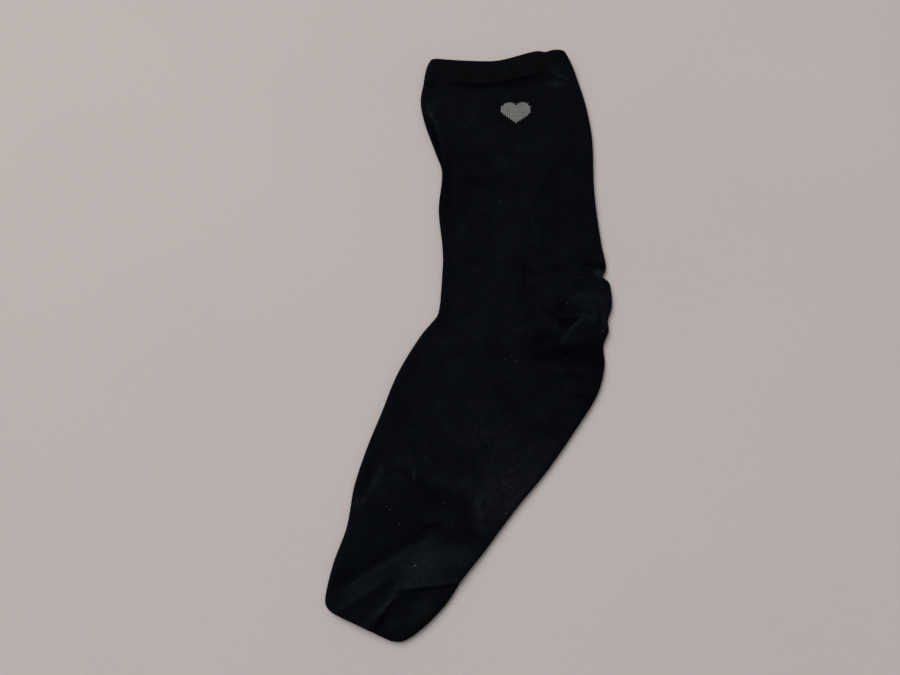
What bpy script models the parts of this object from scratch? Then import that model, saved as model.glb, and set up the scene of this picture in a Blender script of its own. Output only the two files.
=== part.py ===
"""A dark cotton crew sock that lies flat on its side, worn through at the heel and under the ball.

Frame: +Z up, +Y from the toe to the cuff, +X to the heel side. The origin is the middle of the
footprint, on the surface that the sock lies on. Lengths are millimetres up to the point where
a mesh is made, and the meshes are in metres.

The sock is a knitted tube pressed flat: each section goes from the front fold (instep) over the
upper layer to the back fold (calf, heel, sole) and home along the lower layer.
"""

import math

import bmesh
import bpy
import numpy as np

METRES = 0.001

# Cloth
KNIT_WALL = 1.2
WELT_WALL = 2.0
HOLLOW = 0.8                # between the two layers where they lie flat
HOLLOW_LEAST = 0.5
HOLLOW_MOST = 3.6
SEAM_GAP = 0.3              # least distance between two pieces
SEAM_HALF = 0.26            # half the gap along the sock, where its sections may fan out

# Folded sides and blunt toe end
UPPER_ROUND = 4.0           # reach of the rounding of the upper layer
END_STEPS = (1.0, 0.45, 0.2)    # shares of that reach where the toe's last sections lie
TOE_END_INSET = 0.3         # from the toe's very end to its last section

# Mesh density
STATION_STEP = 7.5          # along the sock
TOE_STEP = 5.0
MARK_CLEARANCE = 0.5        # a section of the table this near to an end is left out
UPPER_FRONT_COLUMNS = 8     # from the front fold to the heel's edge line
UPPER_BACK_COLUMNS = 5      # from the heel's edge line to the back fold
UNDER_COLUMNS = 3           # on each side of the heel's edge line, underneath
UPPER_ANGLES = (35.0, 65.0)
UNDER_ANGLES = (45.0,)

# Heel pocket: a wedge from its point inside the ankle to the back fold
HEEL_POINT = 0.60           # share of the section's width
HEEL_EDGE_STRIP = 3.0       # width of the wedge's ends beside the back fold
HEEL_LINE_RELAX = 30.0      # length over which the edge line returns to HEEL_POINT

# Heart motif, knitted into the leg
HEART_WIDTH = 17.5
HEART_HEIGHT = 15.2
HEART_LOBE = 0.54           # radius of each lobe, as a share of half the width
HEART_SIDE = 1.5            # upright side of each lobe, between its upper and its lower arc
HEART_DROP = 26.1           # centre below the welt's lower edge
HEART_FROM_FRONT = 57.3
HEART_LEAN = 0.21           # its axis stands straight while the sections fan out
HEART_THICK = 0.6
HEART_ARC_POINTS = 6        # on each of the four arcs
HEART_FLANK_POINTS = 3      # on each straight side, the tip not counted
HEART_INNER_RING = 0.55

# Outline: where each section meets the front and the back fold, how far the upper layer
# crowns over the flat stack, and how far the section waves in plan, towards the toe in its front
# half and back to the straight line behind
SECTION_COLUMNS = ("front_x", "front_y", "back_x", "back_y", "crown", "wave")
SECTIONS = {
    "cuff_edge":    (-27.1, 166.7, 58.0, 172.9, 0.6, 2.2),
    "cuff_corner":  (-28.9, 163.1, 59.7, 169.1, 0.8, 2.1),
    "welt_end":     (-31.7, 148.9, 64.2, 155.1, 0.8, 2.0),
    "calf_full":    (-33.3, 136.7, 68.2, 138.7, 1.2, 0.9),
    "calf_low":     (-30.8, 121.2, 71.0, 118.7, 1.6, 0.0),
    "leg_pinch":    (-23.7, 99.2, 71.5, 100.7, 1.6, 0.0),
    "leg_high":     (-20.0, 87.2, 70.7, 82.2, 1.4, 0.0),
    "leg_mid":      (-21.7, 60.7, 71.0, 60.7, 1.2, 0.0),
    "leg_low":      (-19.4, 36.2, 72.5, 39.2, 1.2, 0.0),
    "heel_crease":  (-19.2, 25.2, 73.9, 22.7, 1.2, 0.0),
    "heel_notch":   (-19.6, 18.7, 72.1, 18.2, 1.4, 0.0),
    "heel_knuckle": (-19.8, 14.2, 75.1, 15.2, 1.7, 0.0),
    "heel_shoulder": (-20.2, 8.2, 76.1, 9.6, 2.0, 0.0),
    "heel_bulge":   (-20.8, 1.2, 75.7, -0.3, 2.1, 0.0),
    "ankle":        (-22.3, -5.3, 73.0, -8.3, 2.1, 0.0),
    "ankle_low":    (-25.7, -9.8, 73.1, -13.8, 2.1, 0.0),
    "heel_dent":    (-30.0, -15.1, 69.8, -21.8, 2.0, 0.0),
    "heel_low":     (-35.8, -24.2, 69.5, -33.3, 1.9, 0.0),
    "heel_end":     (-42.6, -36.5, 66.0, -46.6, 1.8, 0.0),
    "instep":       (-52.1, -61.3, 50.3, -71.3, 1.6, 0.0),
    "waist":        (-59.0, -79.7, 34.9, -91.9, 1.5, 0.0),
    "ball":         (-64.5, -98.3, 18.9, -110.3, 1.5, 0.0),
    "toe_start":    (-68.0, -120.7, 1.4, -132.4, 1.5, 0.0),
    "toe_mid":      (-73.7, -137.6, -9.4, -145.3, 1.6, 0.0),
    "toe_corner":   (-76.6, -152.3, -18.8, -158.1, 1.5, 0.0),
    "toe_turn":     (-76.4, -155.9, -27.5, -166.4, 1.4, 0.0),
    "toe_bend":     (-75.1, -158.1, -33.0, -170.4, 1.3, 0.0),
    "toe_round":    (-72.9, -159.9, -38.2, -172.9, 1.2, 0.0),
    "toe_end":      (-69.8, -161.5, -43.6, -172.9, 1.1, 0.0),
}

WAVE_TERMS = (1.5, 1.0, -0.45)      # shares of one, two and three half waves over the width
CROWN_POWER = 0.6                   # the crown rises steeply beside the folds and is broad between

# Largest folds of the upper layer: from one end to the other, a ridge where the height is
# positive and a trough where it is negative, and how far each flank reaches, seen along the fold
FOLD_COLUMNS = ("start_x", "start_y", "end_x", "end_y", "height", "left_reach", "right_reach")
FOLDS = {
    "cuff_pleat":      (-28.0, 128.7, -18.5, 86.7, -1.6, 4.0, 5.0),
    "heel_top_trough": (52.0, 21.7, 84.0, 25.7, -1.2, 4.0, 5.0),
    "heel_valley":     (36.0, -23.3, 66.0, 2.7, -1.3, 7.0, 5.0),
    "heel_ridge":      (42.0, -23.3, 76.0, 8.7, 1.4, 6.0, 7.0),
    "gore_trough":     (34.0, -27.3, 78.0, -29.3, -1.4, 6.0, 5.0),
    "heel_roll":       (40.0, -37.3, 76.0, -37.3, 0.9, 5.0, 8.0),
    "point_dimple":    (28.0, -13.3, 38.0, -35.3, -1.1, 6.0, 6.0),
    "instep_ridge":    (-44.0, -73.3, -64.0, -111.3, 1.0, 6.0, 6.0),
    "ball_ridge":      (-22.0, -91.3, 6.0, -113.3, 0.9, 9.0, 8.0),
    "toe_valley":      (-14.0, -118.3, -76.0, -151.3, -1.5, 6.0, 9.0),
    "toe_band":        (-4.0, -136.3, -66.0, -159.3, 1.3, 9.0, 7.0),
    "toe_tuck":        (-6.0, -149.3, -60.0, -167.3, -1.2, 5.0, 8.0),
}

# Worn openings in the upper layer: middle of the line between the two corners, its length and
# its turn in degrees, how far the edge stands above and below it, and where along it, from -1 to 1
HOLE_COLUMNS = ("node", "x", "y", "length", "turn", "above", "below", "peak")
HOLES = {
    "heel_hole": ("heel", 50.0, -5.6, 16.6, -1.0, -1.5, 8.5, -0.14),
    "sole_hole": ("leg_foot", -24.8, -120.5, 13.0, 18.0, 2.5, -0.4, 0.0),
}
HOLE_EDGE_POWER = 1.4       # 1 is a straight-sided peak and 2 a round one
HOLE_POINTS = 16
HOLE_CUTTER_HEIGHT = 12.0
HOLE_CLEAR_OF_LOWER_LAYER = 0.25

# Colours and surface: base colour, roughness
KNIT_BLACK = ((0.0045, 0.0055, 0.0075, 1.0), 0.95)
WELT_BLACK = ((0.0040, 0.0048, 0.0065, 1.0), 0.95)
HEEL_BLACK = ((0.0050, 0.0060, 0.0080, 1.0), 0.92)
TOE_BLACK = ((0.0052, 0.0062, 0.0080, 1.0), 0.92)
HEART_GREY = ((0.17, 0.18, 0.17, 1.0), 0.90)


def remove_all_objects():
    for item in list(bpy.data.objects):
        bpy.data.objects.remove(item, do_unlink=True)


def material(name, finish):
    colour, roughness = finish
    made = bpy.data.materials.new(name)
    made.use_nodes = True
    made.diffuse_color = colour
    shader = made.node_tree.nodes["Principled BSDF"]
    shader.inputs["Base Color"].default_value = colour
    shader.inputs["Roughness"].default_value = roughness
    shader.inputs["Metallic"].default_value = 0.0
    return made


# ---------------------------------------------------------------- sections along the sock

TABLE = np.array(list(SECTIONS.values()))


def section_stations():
    """Distance of each section from the cuff, as the mean of the steps along both folds."""
    steps = np.diff(TABLE[:, :4], axis=0)
    front = np.hypot(steps[:, 0], steps[:, 1])
    back = np.hypot(steps[:, 2], steps[:, 3])
    return np.concatenate([[0.0], np.cumsum((front + back) / 2)])


STATIONS = section_stations()
STATION = dict(zip(SECTIONS, STATIONS))


def curve_slopes():
    """Three-point slopes, which keep a smooth curve close to its own points."""
    span = np.diff(STATIONS)[:, None]
    secant = np.diff(TABLE, axis=0) / span
    slopes = np.empty_like(TABLE)
    slopes[1:-1] = (span[1:] * secant[:-1] + span[:-1] * secant[1:]) / (span[:-1] + span[1:])
    slopes[0] = secant[0]
    slopes[-1] = secant[-1]
    return slopes


SLOPES = curve_slopes()


def section_at(station):
    """All columns of SECTIONS at a distance from the cuff, on a smooth curve."""
    last = len(STATIONS) - 2
    index = min(max(int(np.searchsorted(STATIONS, station, side="right")) - 1, 0), last)
    span = STATIONS[index + 1] - STATIONS[index]
    t = (station - STATIONS[index]) / span
    start = (2 * t ** 3 - 3 * t ** 2 + 1) * TABLE[index]
    start = start + (t ** 3 - 2 * t ** 2 + t) * span * SLOPES[index]
    end = (3 * t ** 2 - 2 * t ** 3) * TABLE[index + 1]
    end = end + (t ** 3 - t ** 2) * span * SLOPES[index + 1]
    return dict(zip(SECTION_COLUMNS, start + end))


def plan_point(section, from_front):
    """Plan position of a point of a section, and its share of the width."""
    front = np.array([section["front_x"], section["front_y"]])
    back = np.array([section["back_x"], section["back_y"]])
    width = np.linalg.norm(back - front)
    along = (back - front) / width
    to_cuff = np.array([-along[1], along[0]])
    share = min(max(from_front / width, 0.0), 1.0)
    swing = sum(term * math.sin((n + 1) * math.pi * share) for n, term in enumerate(WAVE_TERMS))
    point = front + along * from_front - to_cuff * section["wave"] * swing
    return point, share


def section_width(section):
    return math.hypot(section["back_x"] - section["front_x"], section["back_y"] - section["front_y"])


def fold_height(point):
    """Sum of the large folds at a plan position."""
    total = 0.0
    for values in FOLDS.values():
        fold = dict(zip(FOLD_COLUMNS, values))
        run_x = fold["end_x"] - fold["start_x"]
        run_y = fold["end_y"] - fold["start_y"]
        length = math.hypot(run_x, run_y)
        off_x = point[0] - fold["start_x"]
        off_y = point[1] - fold["start_y"]
        along = (off_x * run_x + off_y * run_y) / length ** 2
        across = (off_x * run_y - off_y * run_x) / length
        reach = fold["right_reach"] if across > 0 else fold["left_reach"]
        fade = max(0.0, 1.0 - (2 * along - 1) ** 2)
        total += fold["height"] * fade * math.exp(-(across / reach) ** 2)
    return total


def upper_height(section, from_front, wall):
    """Height of the outer face of the upper layer, away from the folded sides."""
    point, share = plan_point(section, from_front)
    crown = section["crown"] * math.sin(math.pi * share) ** CROWN_POWER
    hollow = HOLLOW + crown + fold_height(point)
    return 2 * wall + min(max(hollow, HOLLOW_LEAST), HOLLOW_MOST)


# ---------------------------------------------------------------- one section of the tube

def heel_line(station):
    """Distance of the heel's edge line from the back fold, as a share of its full reach."""
    top = STATION["heel_notch"]
    bottom = STATION["heel_end"]
    middle = STATION["ankle_low"]
    if top <= station <= middle:
        return (station - top) / (middle - top)
    if middle < station <= bottom:
        return (bottom - station) / (bottom - middle)
    outside = top - station if station < top else station - bottom
    return min(outside / HEEL_LINE_RELAX, 1.0)


def line_from_front(station, width):
    """Where the heel's edge line crosses a section."""
    narrow = width - UPPER_ROUND - HEEL_EDGE_STRIP
    wide = width * HEEL_POINT
    return narrow + (wide - narrow) * heel_line(station)


def columns(width, line, wall, rim):
    """Column places of a section: distance from the front fold and rise from -1 to 1.

    rim is 0 for the outer face and the wall for the inner one.
    """
    under_round = wall + HOLLOW / 2
    upper_reach = UPPER_ROUND - rim
    under_reach = under_round - rim
    upper = [(rim + upper_reach * (1 - math.cos(math.radians(a))), math.sin(math.radians(a)))
             for a in UPPER_ANGLES]
    under = [(rim + under_reach * (1 - math.cos(math.radians(a))), -math.sin(math.radians(a)))
             for a in UNDER_ANGLES]
    front_part = np.linspace(UPPER_ROUND, line, UPPER_FRONT_COLUMNS)
    back_part = np.linspace(line, width - UPPER_ROUND, UPPER_BACK_COLUMNS)[1:]
    under_back = np.linspace(width - under_round, line, UNDER_COLUMNS)
    under_front = np.linspace(line, under_round, UNDER_COLUMNS)[1:]
    places = [(rim, 0.0)] + upper
    places += [(a, 1.0) for a in front_part]
    places += [(a, 1.0) for a in back_part]
    places += [(width - a, rise) for a, rise in reversed(upper)]
    places += [(width - rim, 0.0)]
    places += [(width - a, rise) for a, rise in under]
    places += [(a, -1.0) for a in under_back]
    places += [(a, -1.0) for a in under_front]
    places += [(a, rise) for a, rise in reversed(under)]
    return places


UPPER_LINE_COLUMN = len(UPPER_ANGLES) + UPPER_FRONT_COLUMNS
BACK_FOLD_COLUMN = UPPER_LINE_COLUMN + UPPER_BACK_COLUMNS - 1 + len(UPPER_ANGLES) + 1
UNDER_LINE_COLUMN = BACK_FOLD_COLUMN + len(UNDER_ANGLES) + UNDER_COLUMNS


def end_rounding(station, end):
    """How much of the height is left beside the toe's blunt end."""
    inside = min(max((end - station) / UPPER_ROUND, 0.0), 1.0)
    return math.sqrt(1 - (1 - inside) ** 2)


def ring(station, wall, line_shift, rim, toe_end=None):
    """Points of one section of the tube, outer face (rim 0) or inner face (rim = wall)."""
    section = section_at(station)
    width = section_width(section)
    line = line_from_front(station, width) + line_shift
    middle = wall + HOLLOW / 2
    left = 1.0 if toe_end is None else end_rounding(station, toe_end)
    points = []
    for from_front, rise in columns(width, line, wall, rim):
        place, _ = plan_point(section, from_front)
        if rise > 0:
            height = middle + (upper_height(section, from_front, wall) - rim - middle) * rise * left
        else:
            height = middle + (middle - rim) * rise * left
        points.append((place[0], place[1], height))
    return points


# ---------------------------------------------------------------- closed shells

def add_face(mesh, corners):
    if len({corner.index for corner in corners}) == len(corners):
        mesh.faces.new(corners)


def shell(outer, inner, keep, capped=False):
    """A closed wall between two grids of sections, over the cells that are kept."""
    mesh = bmesh.new()
    rows = len(outer)
    count = len(outer[0])
    faces = []
    for grid in (outer, inner):
        made = [[mesh.verts.new([value * METRES for value in point]) for point in row] for row in grid]
        faces.append(made)
    mesh.verts.index_update()
    skin, lining = faces

    def kept(row, column):
        return 0 <= row < rows - 1 and keep[row][column % count]

    for row in range(rows - 1):
        for column in range(count):
            if not kept(row, column):
                continue
            ahead = (column + 1) % count
            corners = [(row, column), (row + 1, column), (row + 1, ahead), (row, ahead)]
            beyond = [(row, column - 1), (row + 1, column), (row, column + 1), (row - 1, column)]
            add_face(mesh, [skin[i][j] for i, j in corners])
            add_face(mesh, [lining[i][j] for i, j in reversed(corners)])
            for side in range(4):
                if kept(*beyond[side]):
                    continue
                if capped and side == 1 and row == rows - 2:
                    continue
                (i, j), (k, m) = corners[side], corners[(side + 1) % 4]
                add_face(mesh, [skin[k][m], skin[i][j], lining[i][j], lining[k][m]])
    if capped:
        add_face(mesh, list(reversed(skin[-1])))
        add_face(mesh, lining[-1])
    loose = [vertex for vertex in mesh.verts if not vertex.link_faces]
    bmesh.ops.delete(mesh, geom=loose, context="VERTS")
    bmesh.ops.triangulate(mesh, faces=mesh.faces[:])
    return mesh


def add_object(name, mesh, finish):
    data = bpy.data.meshes.new(name)
    mesh.to_mesh(data)
    mesh.free()
    made = bpy.data.objects.new(name, data)
    bpy.context.collection.objects.link(made)
    data.materials.append(material(name + "_cotton", finish))
    data.shade_smooth()
    data.set_sharp_from_angle(angle=math.radians(40))
    return made


def stations_between(start, end, step):
    """Even stations, with the sections of the table between them kept as they are."""
    marks = [s for s in STATIONS if start + MARK_CLEARANCE < s < end - MARK_CLEARANCE]
    marks = [start] + marks + [end]
    places = []
    for low, high in zip(marks, marks[1:]):
        parts = max(1, round((high - low) / step))
        places += [low + (high - low) * n / parts for n in range(parts)]
    return places + [end]


def tube(name, start, end, wall, step, finish):
    places = stations_between(start, end, step)
    outer = [ring(s, wall, 0.0, 0.0) for s in places]
    inner = [ring(s, wall, 0.0, wall) for s in places]
    keep = [[True] * len(outer[0]) for _ in places]
    return add_object(name, shell(outer, inner, keep), finish)


def make_welt():
    start = STATION["cuff_edge"]
    end = STATION["welt_end"] - SEAM_HALF
    return tube("welt", start, end, WELT_WALL, STATION_STEP, WELT_BLACK)


def in_heel(column):
    return UPPER_LINE_COLUMN <= column < UNDER_LINE_COLUMN


def make_leg_foot():
    """The main tube, open where the heel pocket is."""
    start = STATION["welt_end"] + SEAM_HALF
    window = (STATION["heel_notch"] - SEAM_HALF, STATION["heel_end"] + SEAM_HALF)
    end = STATION["toe_start"] - SEAM_HALF
    places = stations_between(start, window[0], STATION_STEP)[:-1]
    places += stations_between(window[0], window[1], STATION_STEP)
    places += stations_between(window[1], end, STATION_STEP)[1:]
    shift = -SEAM_HALF
    outer = [ring(s, KNIT_WALL, shift, 0.0) for s in places]
    inner = [ring(s, KNIT_WALL, shift, KNIT_WALL) for s in places]
    keep = []
    for low, high in zip(places, places[1:]):
        middle = (low + high) / 2
        open_here = window[0] < middle < window[1]
        keep.append([not (open_here and in_heel(column)) for column in range(len(outer[0]))])
    return add_object("leg_foot", shell(outer, inner, keep), KNIT_BLACK)


def make_heel():
    """The heel pocket: the wedge that wraps round the back fold."""
    start = STATION["heel_notch"] + SEAM_HALF
    end = STATION["heel_end"] - SEAM_HALF
    places = stations_between(start, end, STATION_STEP)
    shift = SEAM_HALF
    outer = [ring(s, KNIT_WALL, shift, 0.0) for s in places]
    inner = [ring(s, KNIT_WALL, shift, KNIT_WALL) for s in places]
    keep = [[in_heel(column) for column in range(len(outer[0]))] for _ in places]
    return add_object("heel", shell(outer, inner, keep), HEEL_BLACK)


def make_toe():
    """The closed toe pocket, whose hollow ends a wall's thickness before its tip."""
    start = STATION["toe_start"] + SEAM_HALF
    end = STATION["toe_end"]
    end_places = [end - UPPER_ROUND * share for share in END_STEPS]
    places = stations_between(start, end_places[0], TOE_STEP) + end_places[1:]
    places.append(end - TOE_END_INSET)
    hollow_end = end - KNIT_WALL
    squeeze = (hollow_end - start) / (end - start)
    outer = [ring(s, KNIT_WALL, 0.0, 0.0, end) for s in places]
    inner = [ring(start + (s - start) * squeeze, KNIT_WALL, 0.0, KNIT_WALL, hollow_end)
             for s in places]
    keep = [[True] * len(outer[0]) for _ in places]
    return add_object("toe", shell(outer, inner, keep, capped=True), TOE_BLACK)


# ---------------------------------------------------------------- heart motif

def heart_outline():
    """Two lobes that meet in the notch, with upright sides, and straight flanks to the tip."""
    half = HEART_WIDTH / 2
    radius = HEART_LOBE * half
    across = half - radius
    high = HEART_HEIGHT / 2 - radius
    low = high - HEART_SIDE
    tip = -HEART_HEIGHT / 2
    notch_angle = math.pi - math.acos(across / radius)
    flank_angle = math.atan2(tip - low, -across) + math.acos(radius / math.hypot(across, low - tip))
    right = []
    for up, start, end in ((high, notch_angle, 0.0), (low, 0.0, flank_angle)):
        for n in range(HEART_ARC_POINTS):
            angle = start + (end - start) * n / (HEART_ARC_POINTS - 1)
            right.append((across + radius * math.cos(angle), up + radius * math.sin(angle)))
    leave = right[-1]
    for n in range(1, HEART_FLANK_POINTS):
        share = n / HEART_FLANK_POINTS
        right.append((leave[0] * (1 - share), leave[1] + (tip - leave[1]) * share))
    left = [(-x, up) for x, up in reversed(right[1:])]
    return right + [(0.0, tip)] + left


def heart_point(across, up, lift):
    """A point of the motif on the leg's upper face, moved out by the lift."""
    section = section_at(STATION["welt_end"] + HEART_DROP - up)
    from_front = HEART_FROM_FRONT + across + HEART_LEAN * up
    place, _ = plan_point(section, from_front)
    height = upper_height(section, from_front, KNIT_WALL) + lift
    return [value * METRES for value in (place[0], place[1], height)]


def make_heart():
    mesh = bmesh.new()
    outline = heart_outline()
    layers = []
    for lift in (SEAM_GAP, SEAM_GAP + HEART_THICK):
        rings = []
        for share in (1.0, HEART_INNER_RING):
            rings.append([mesh.verts.new(heart_point(a * share, u * share, lift)) for a, u in outline])
        layers.append((rings, mesh.verts.new(heart_point(0.0, 0.0, lift))))
    mesh.verts.index_update()
    count = len(outline)
    for (rings, centre), up in zip(layers, (False, True)):
        for n in range(count):
            ahead = (n + 1) % count
            quad = [rings[0][n], rings[1][n], rings[1][ahead], rings[0][ahead]]
            fan = [rings[1][n], centre, rings[1][ahead]]
            mesh.faces.new(quad if up else reversed(quad))
            mesh.faces.new(fan if up else reversed(fan))
    low, high = layers[0][0][0], layers[1][0][0]
    for n in range(count):
        ahead = (n + 1) % count
        mesh.faces.new([low[ahead], low[n], high[n], high[ahead]])
    bmesh.ops.recalc_face_normals(mesh, faces=mesh.faces[:])
    bmesh.ops.triangulate(mesh, faces=mesh.faces[:])
    return add_object("heart", mesh, HEART_GREY)


# ---------------------------------------------------------------- worn holes

def edge_share(along, peak):
    """How far out the edge is at a place along the hole, as a share of its most."""
    reach = 1 - peak if along > peak else 1 + peak
    return 1 - (abs(along - peak) / reach) ** HOLE_EDGE_POWER


def hole_outline(hole):
    """A worn opening with a corner at each end, and one bulging edge above and one below."""
    turn = math.radians(hole["turn"])
    points = []
    for n in range(HOLE_POINTS):
        t = 2 * math.pi * n / HOLE_POINTS
        share = edge_share(math.cos(t), hole["peak"])
        across = hole["above"] * share if n < HOLE_POINTS / 2 else -hole["below"] * share
        along = math.cos(t) * hole["length"] / 2
        x = hole["x"] + along * math.cos(turn) - across * math.sin(turn)
        y = hole["y"] + along * math.sin(turn) + across * math.cos(turn)
        points.append((x, y))
    return points


def cut_hole(name, nodes):
    hole = dict(zip(HOLE_COLUMNS, HOLES[name]))
    low = KNIT_WALL + HOLE_CLEAR_OF_LOWER_LAYER
    mesh = bmesh.new()
    outline = hole_outline(hole)
    floor = [mesh.verts.new((x * METRES, y * METRES, low * METRES)) for x, y in outline]
    mesh.verts.index_update()
    face = mesh.faces.new(floor)
    grown = bmesh.ops.extrude_face_region(mesh, geom=[face])
    raised = [item for item in grown["geom"] if isinstance(item, bmesh.types.BMVert)]
    bmesh.ops.translate(mesh, verts=raised, vec=(0.0, 0.0, HOLE_CUTTER_HEIGHT * METRES))
    bmesh.ops.recalc_face_normals(mesh, faces=mesh.faces[:])
    bmesh.ops.triangulate(mesh, faces=mesh.faces[:])
    data = bpy.data.meshes.new(name)
    mesh.to_mesh(data)
    mesh.free()
    cutter = bpy.data.objects.new(name, data)
    cutter.hide_render = True
    cutter.display_type = "WIRE"
    bpy.context.collection.objects.link(cutter)
    cut = nodes[hole["node"]].modifiers.new(name, "BOOLEAN")
    cut.operation = "DIFFERENCE"
    cut.solver = "EXACT"
    cut.object = cutter


def main():
    remove_all_objects()
    made = [make_welt(), make_leg_foot(), make_heel(), make_toe(), make_heart()]
    nodes = {item.name: item for item in made}
    for name in HOLES:
        cut_hole(name, nodes)


main()
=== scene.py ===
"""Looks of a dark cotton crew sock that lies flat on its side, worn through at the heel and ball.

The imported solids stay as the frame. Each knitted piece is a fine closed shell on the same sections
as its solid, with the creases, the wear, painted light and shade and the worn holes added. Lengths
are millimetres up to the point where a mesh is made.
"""

import math

import bpy
import numpy as np
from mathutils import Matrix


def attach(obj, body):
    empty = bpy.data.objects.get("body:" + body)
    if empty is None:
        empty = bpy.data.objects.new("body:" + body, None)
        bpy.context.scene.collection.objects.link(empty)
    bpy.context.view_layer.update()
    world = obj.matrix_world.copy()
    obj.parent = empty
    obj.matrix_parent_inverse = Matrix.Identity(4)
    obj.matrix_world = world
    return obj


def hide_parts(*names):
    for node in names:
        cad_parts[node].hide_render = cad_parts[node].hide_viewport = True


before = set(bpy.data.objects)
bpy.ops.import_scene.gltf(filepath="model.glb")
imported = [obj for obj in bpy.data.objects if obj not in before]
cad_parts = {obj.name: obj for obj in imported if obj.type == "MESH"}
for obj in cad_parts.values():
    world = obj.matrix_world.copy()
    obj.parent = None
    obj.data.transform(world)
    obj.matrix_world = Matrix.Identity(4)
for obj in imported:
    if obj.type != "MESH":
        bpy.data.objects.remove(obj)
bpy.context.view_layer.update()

METRES = 0.001
RNG = np.random.default_rng(11)


def rows_of(columns, **rows):
    """A table's rows as dictionaries. A row may leave out its last columns, which are then 0."""
    spare = (0.0,) * len(columns)
    return {name: dict(zip(columns, row + spare)) for name, row in rows.items()}


# ---- sizes shared with the solids

KNIT_WALL = 1.2
WELT_WALL = 2.0
HOLLOW = 0.8
UPPER_ROUND = 4.0
HEEL_POINT = 0.60
HEEL_EDGE_STRIP = 3.0
HEEL_LINE_RELAX = 30.0
HEART_WIDTH = 17.5
HEART_HEIGHT = 15.6         # 0.4 more than the solid's, so that the stitches fill the outline
HEART_LOBE = 0.54
HEART_SIDE = 1.5
HEART_DROP = 26.1
HEART_FROM_FRONT = 57.3
HEART_LEAN = 0.21
HEART_TILT = 0.035          # the front lobe sits a little higher
WAVE_TERMS = (1.5, 1.0, -0.45)
CROWN_POWER = 0.6

SECTION_COLUMNS = ("front_x", "front_y", "back_x", "back_y", "crown", "wave")
SECTIONS = {
    "cuff_edge": (-27.1, 166.7, 58.0, 172.9, 0.6, 2.2),
    "cuff_corner": (-28.9, 163.1, 59.7, 169.1, 0.8, 2.1),
    "welt_end": (-31.7, 148.9, 64.2, 155.1, 0.8, 2.0),
    "calf_full": (-33.3, 136.7, 68.2, 138.7, 1.2, 0.9),
    "calf_low": (-30.8, 121.2, 71.0, 118.7, 1.6, 0.0),
    "leg_pinch": (-23.7, 99.2, 71.5, 100.7, 1.6, 0.0),
    "leg_high": (-20.0, 87.2, 70.7, 82.2, 1.4, 0.0),
    "leg_mid": (-21.7, 60.7, 71.0, 60.7, 1.2, 0.0),
    "leg_low": (-19.4, 36.2, 72.5, 39.2, 1.2, 0.0),
    "heel_crease": (-19.2, 25.2, 73.9, 22.7, 1.2, 0.0),
    "heel_notch": (-19.6, 18.7, 72.1, 18.2, 1.4, 0.0),
    "heel_knuckle": (-19.8, 14.2, 75.1, 15.2, 1.7, 0.0),
    "heel_shoulder": (-20.2, 8.2, 76.1, 9.6, 2.0, 0.0),
    "heel_bulge": (-20.8, 1.2, 75.7, -0.3, 2.1, 0.0),
    "ankle": (-22.3, -5.3, 73.0, -8.3, 2.1, 0.0),
    "ankle_low": (-25.7, -9.8, 73.1, -13.8, 2.1, 0.0),
    "heel_dent": (-30.0, -15.1, 69.8, -21.8, 2.0, 0.0),
    "heel_low": (-35.8, -24.2, 69.5, -33.3, 1.9, 0.0),
    "heel_end": (-42.6, -36.5, 66.0, -46.6, 1.8, 0.0),
    "instep": (-52.1, -61.3, 50.3, -71.3, 1.6, 0.0),
    "waist": (-59.0, -79.7, 34.9, -91.9, 1.5, 0.0),
    "ball": (-64.5, -98.3, 18.9, -110.3, 1.5, 0.0),
    "toe_start": (-68.0, -120.7, 1.4, -132.4, 1.5, 0.0),
    "toe_mid": (-73.7, -137.6, -9.4, -145.3, 1.6, 0.0),
    "toe_corner": (-76.6, -152.3, -18.8, -158.1, 1.5, 0.0),
    "toe_turn": (-76.4, -155.9, -27.5, -166.4, 1.4, 0.0),
    "toe_bend": (-75.1, -158.1, -33.0, -170.4, 1.3, 0.0),
    "toe_round": (-72.9, -159.9, -38.2, -172.9, 1.2, 0.0),
    "toe_end": (-69.8, -161.5, -43.6, -172.9, 1.1, 0.0),
}

# inside gives the tone of the inner face that shows through the hole, a painted shade
HOLES = rows_of(
    ("x", "y", "length", "turn", "above", "below", "peak", "inside"),
    heel_hole=(50.0, -5.6, 16.6, -1.0, -1.5, 8.5, -0.14, -1.0),
    sole_hole=(-24.8, -120.5, 13.0, 18.0, 2.5, -0.4, 0.0, -0.6),
)
HOLE_EDGE_POWER = 1.4
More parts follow.
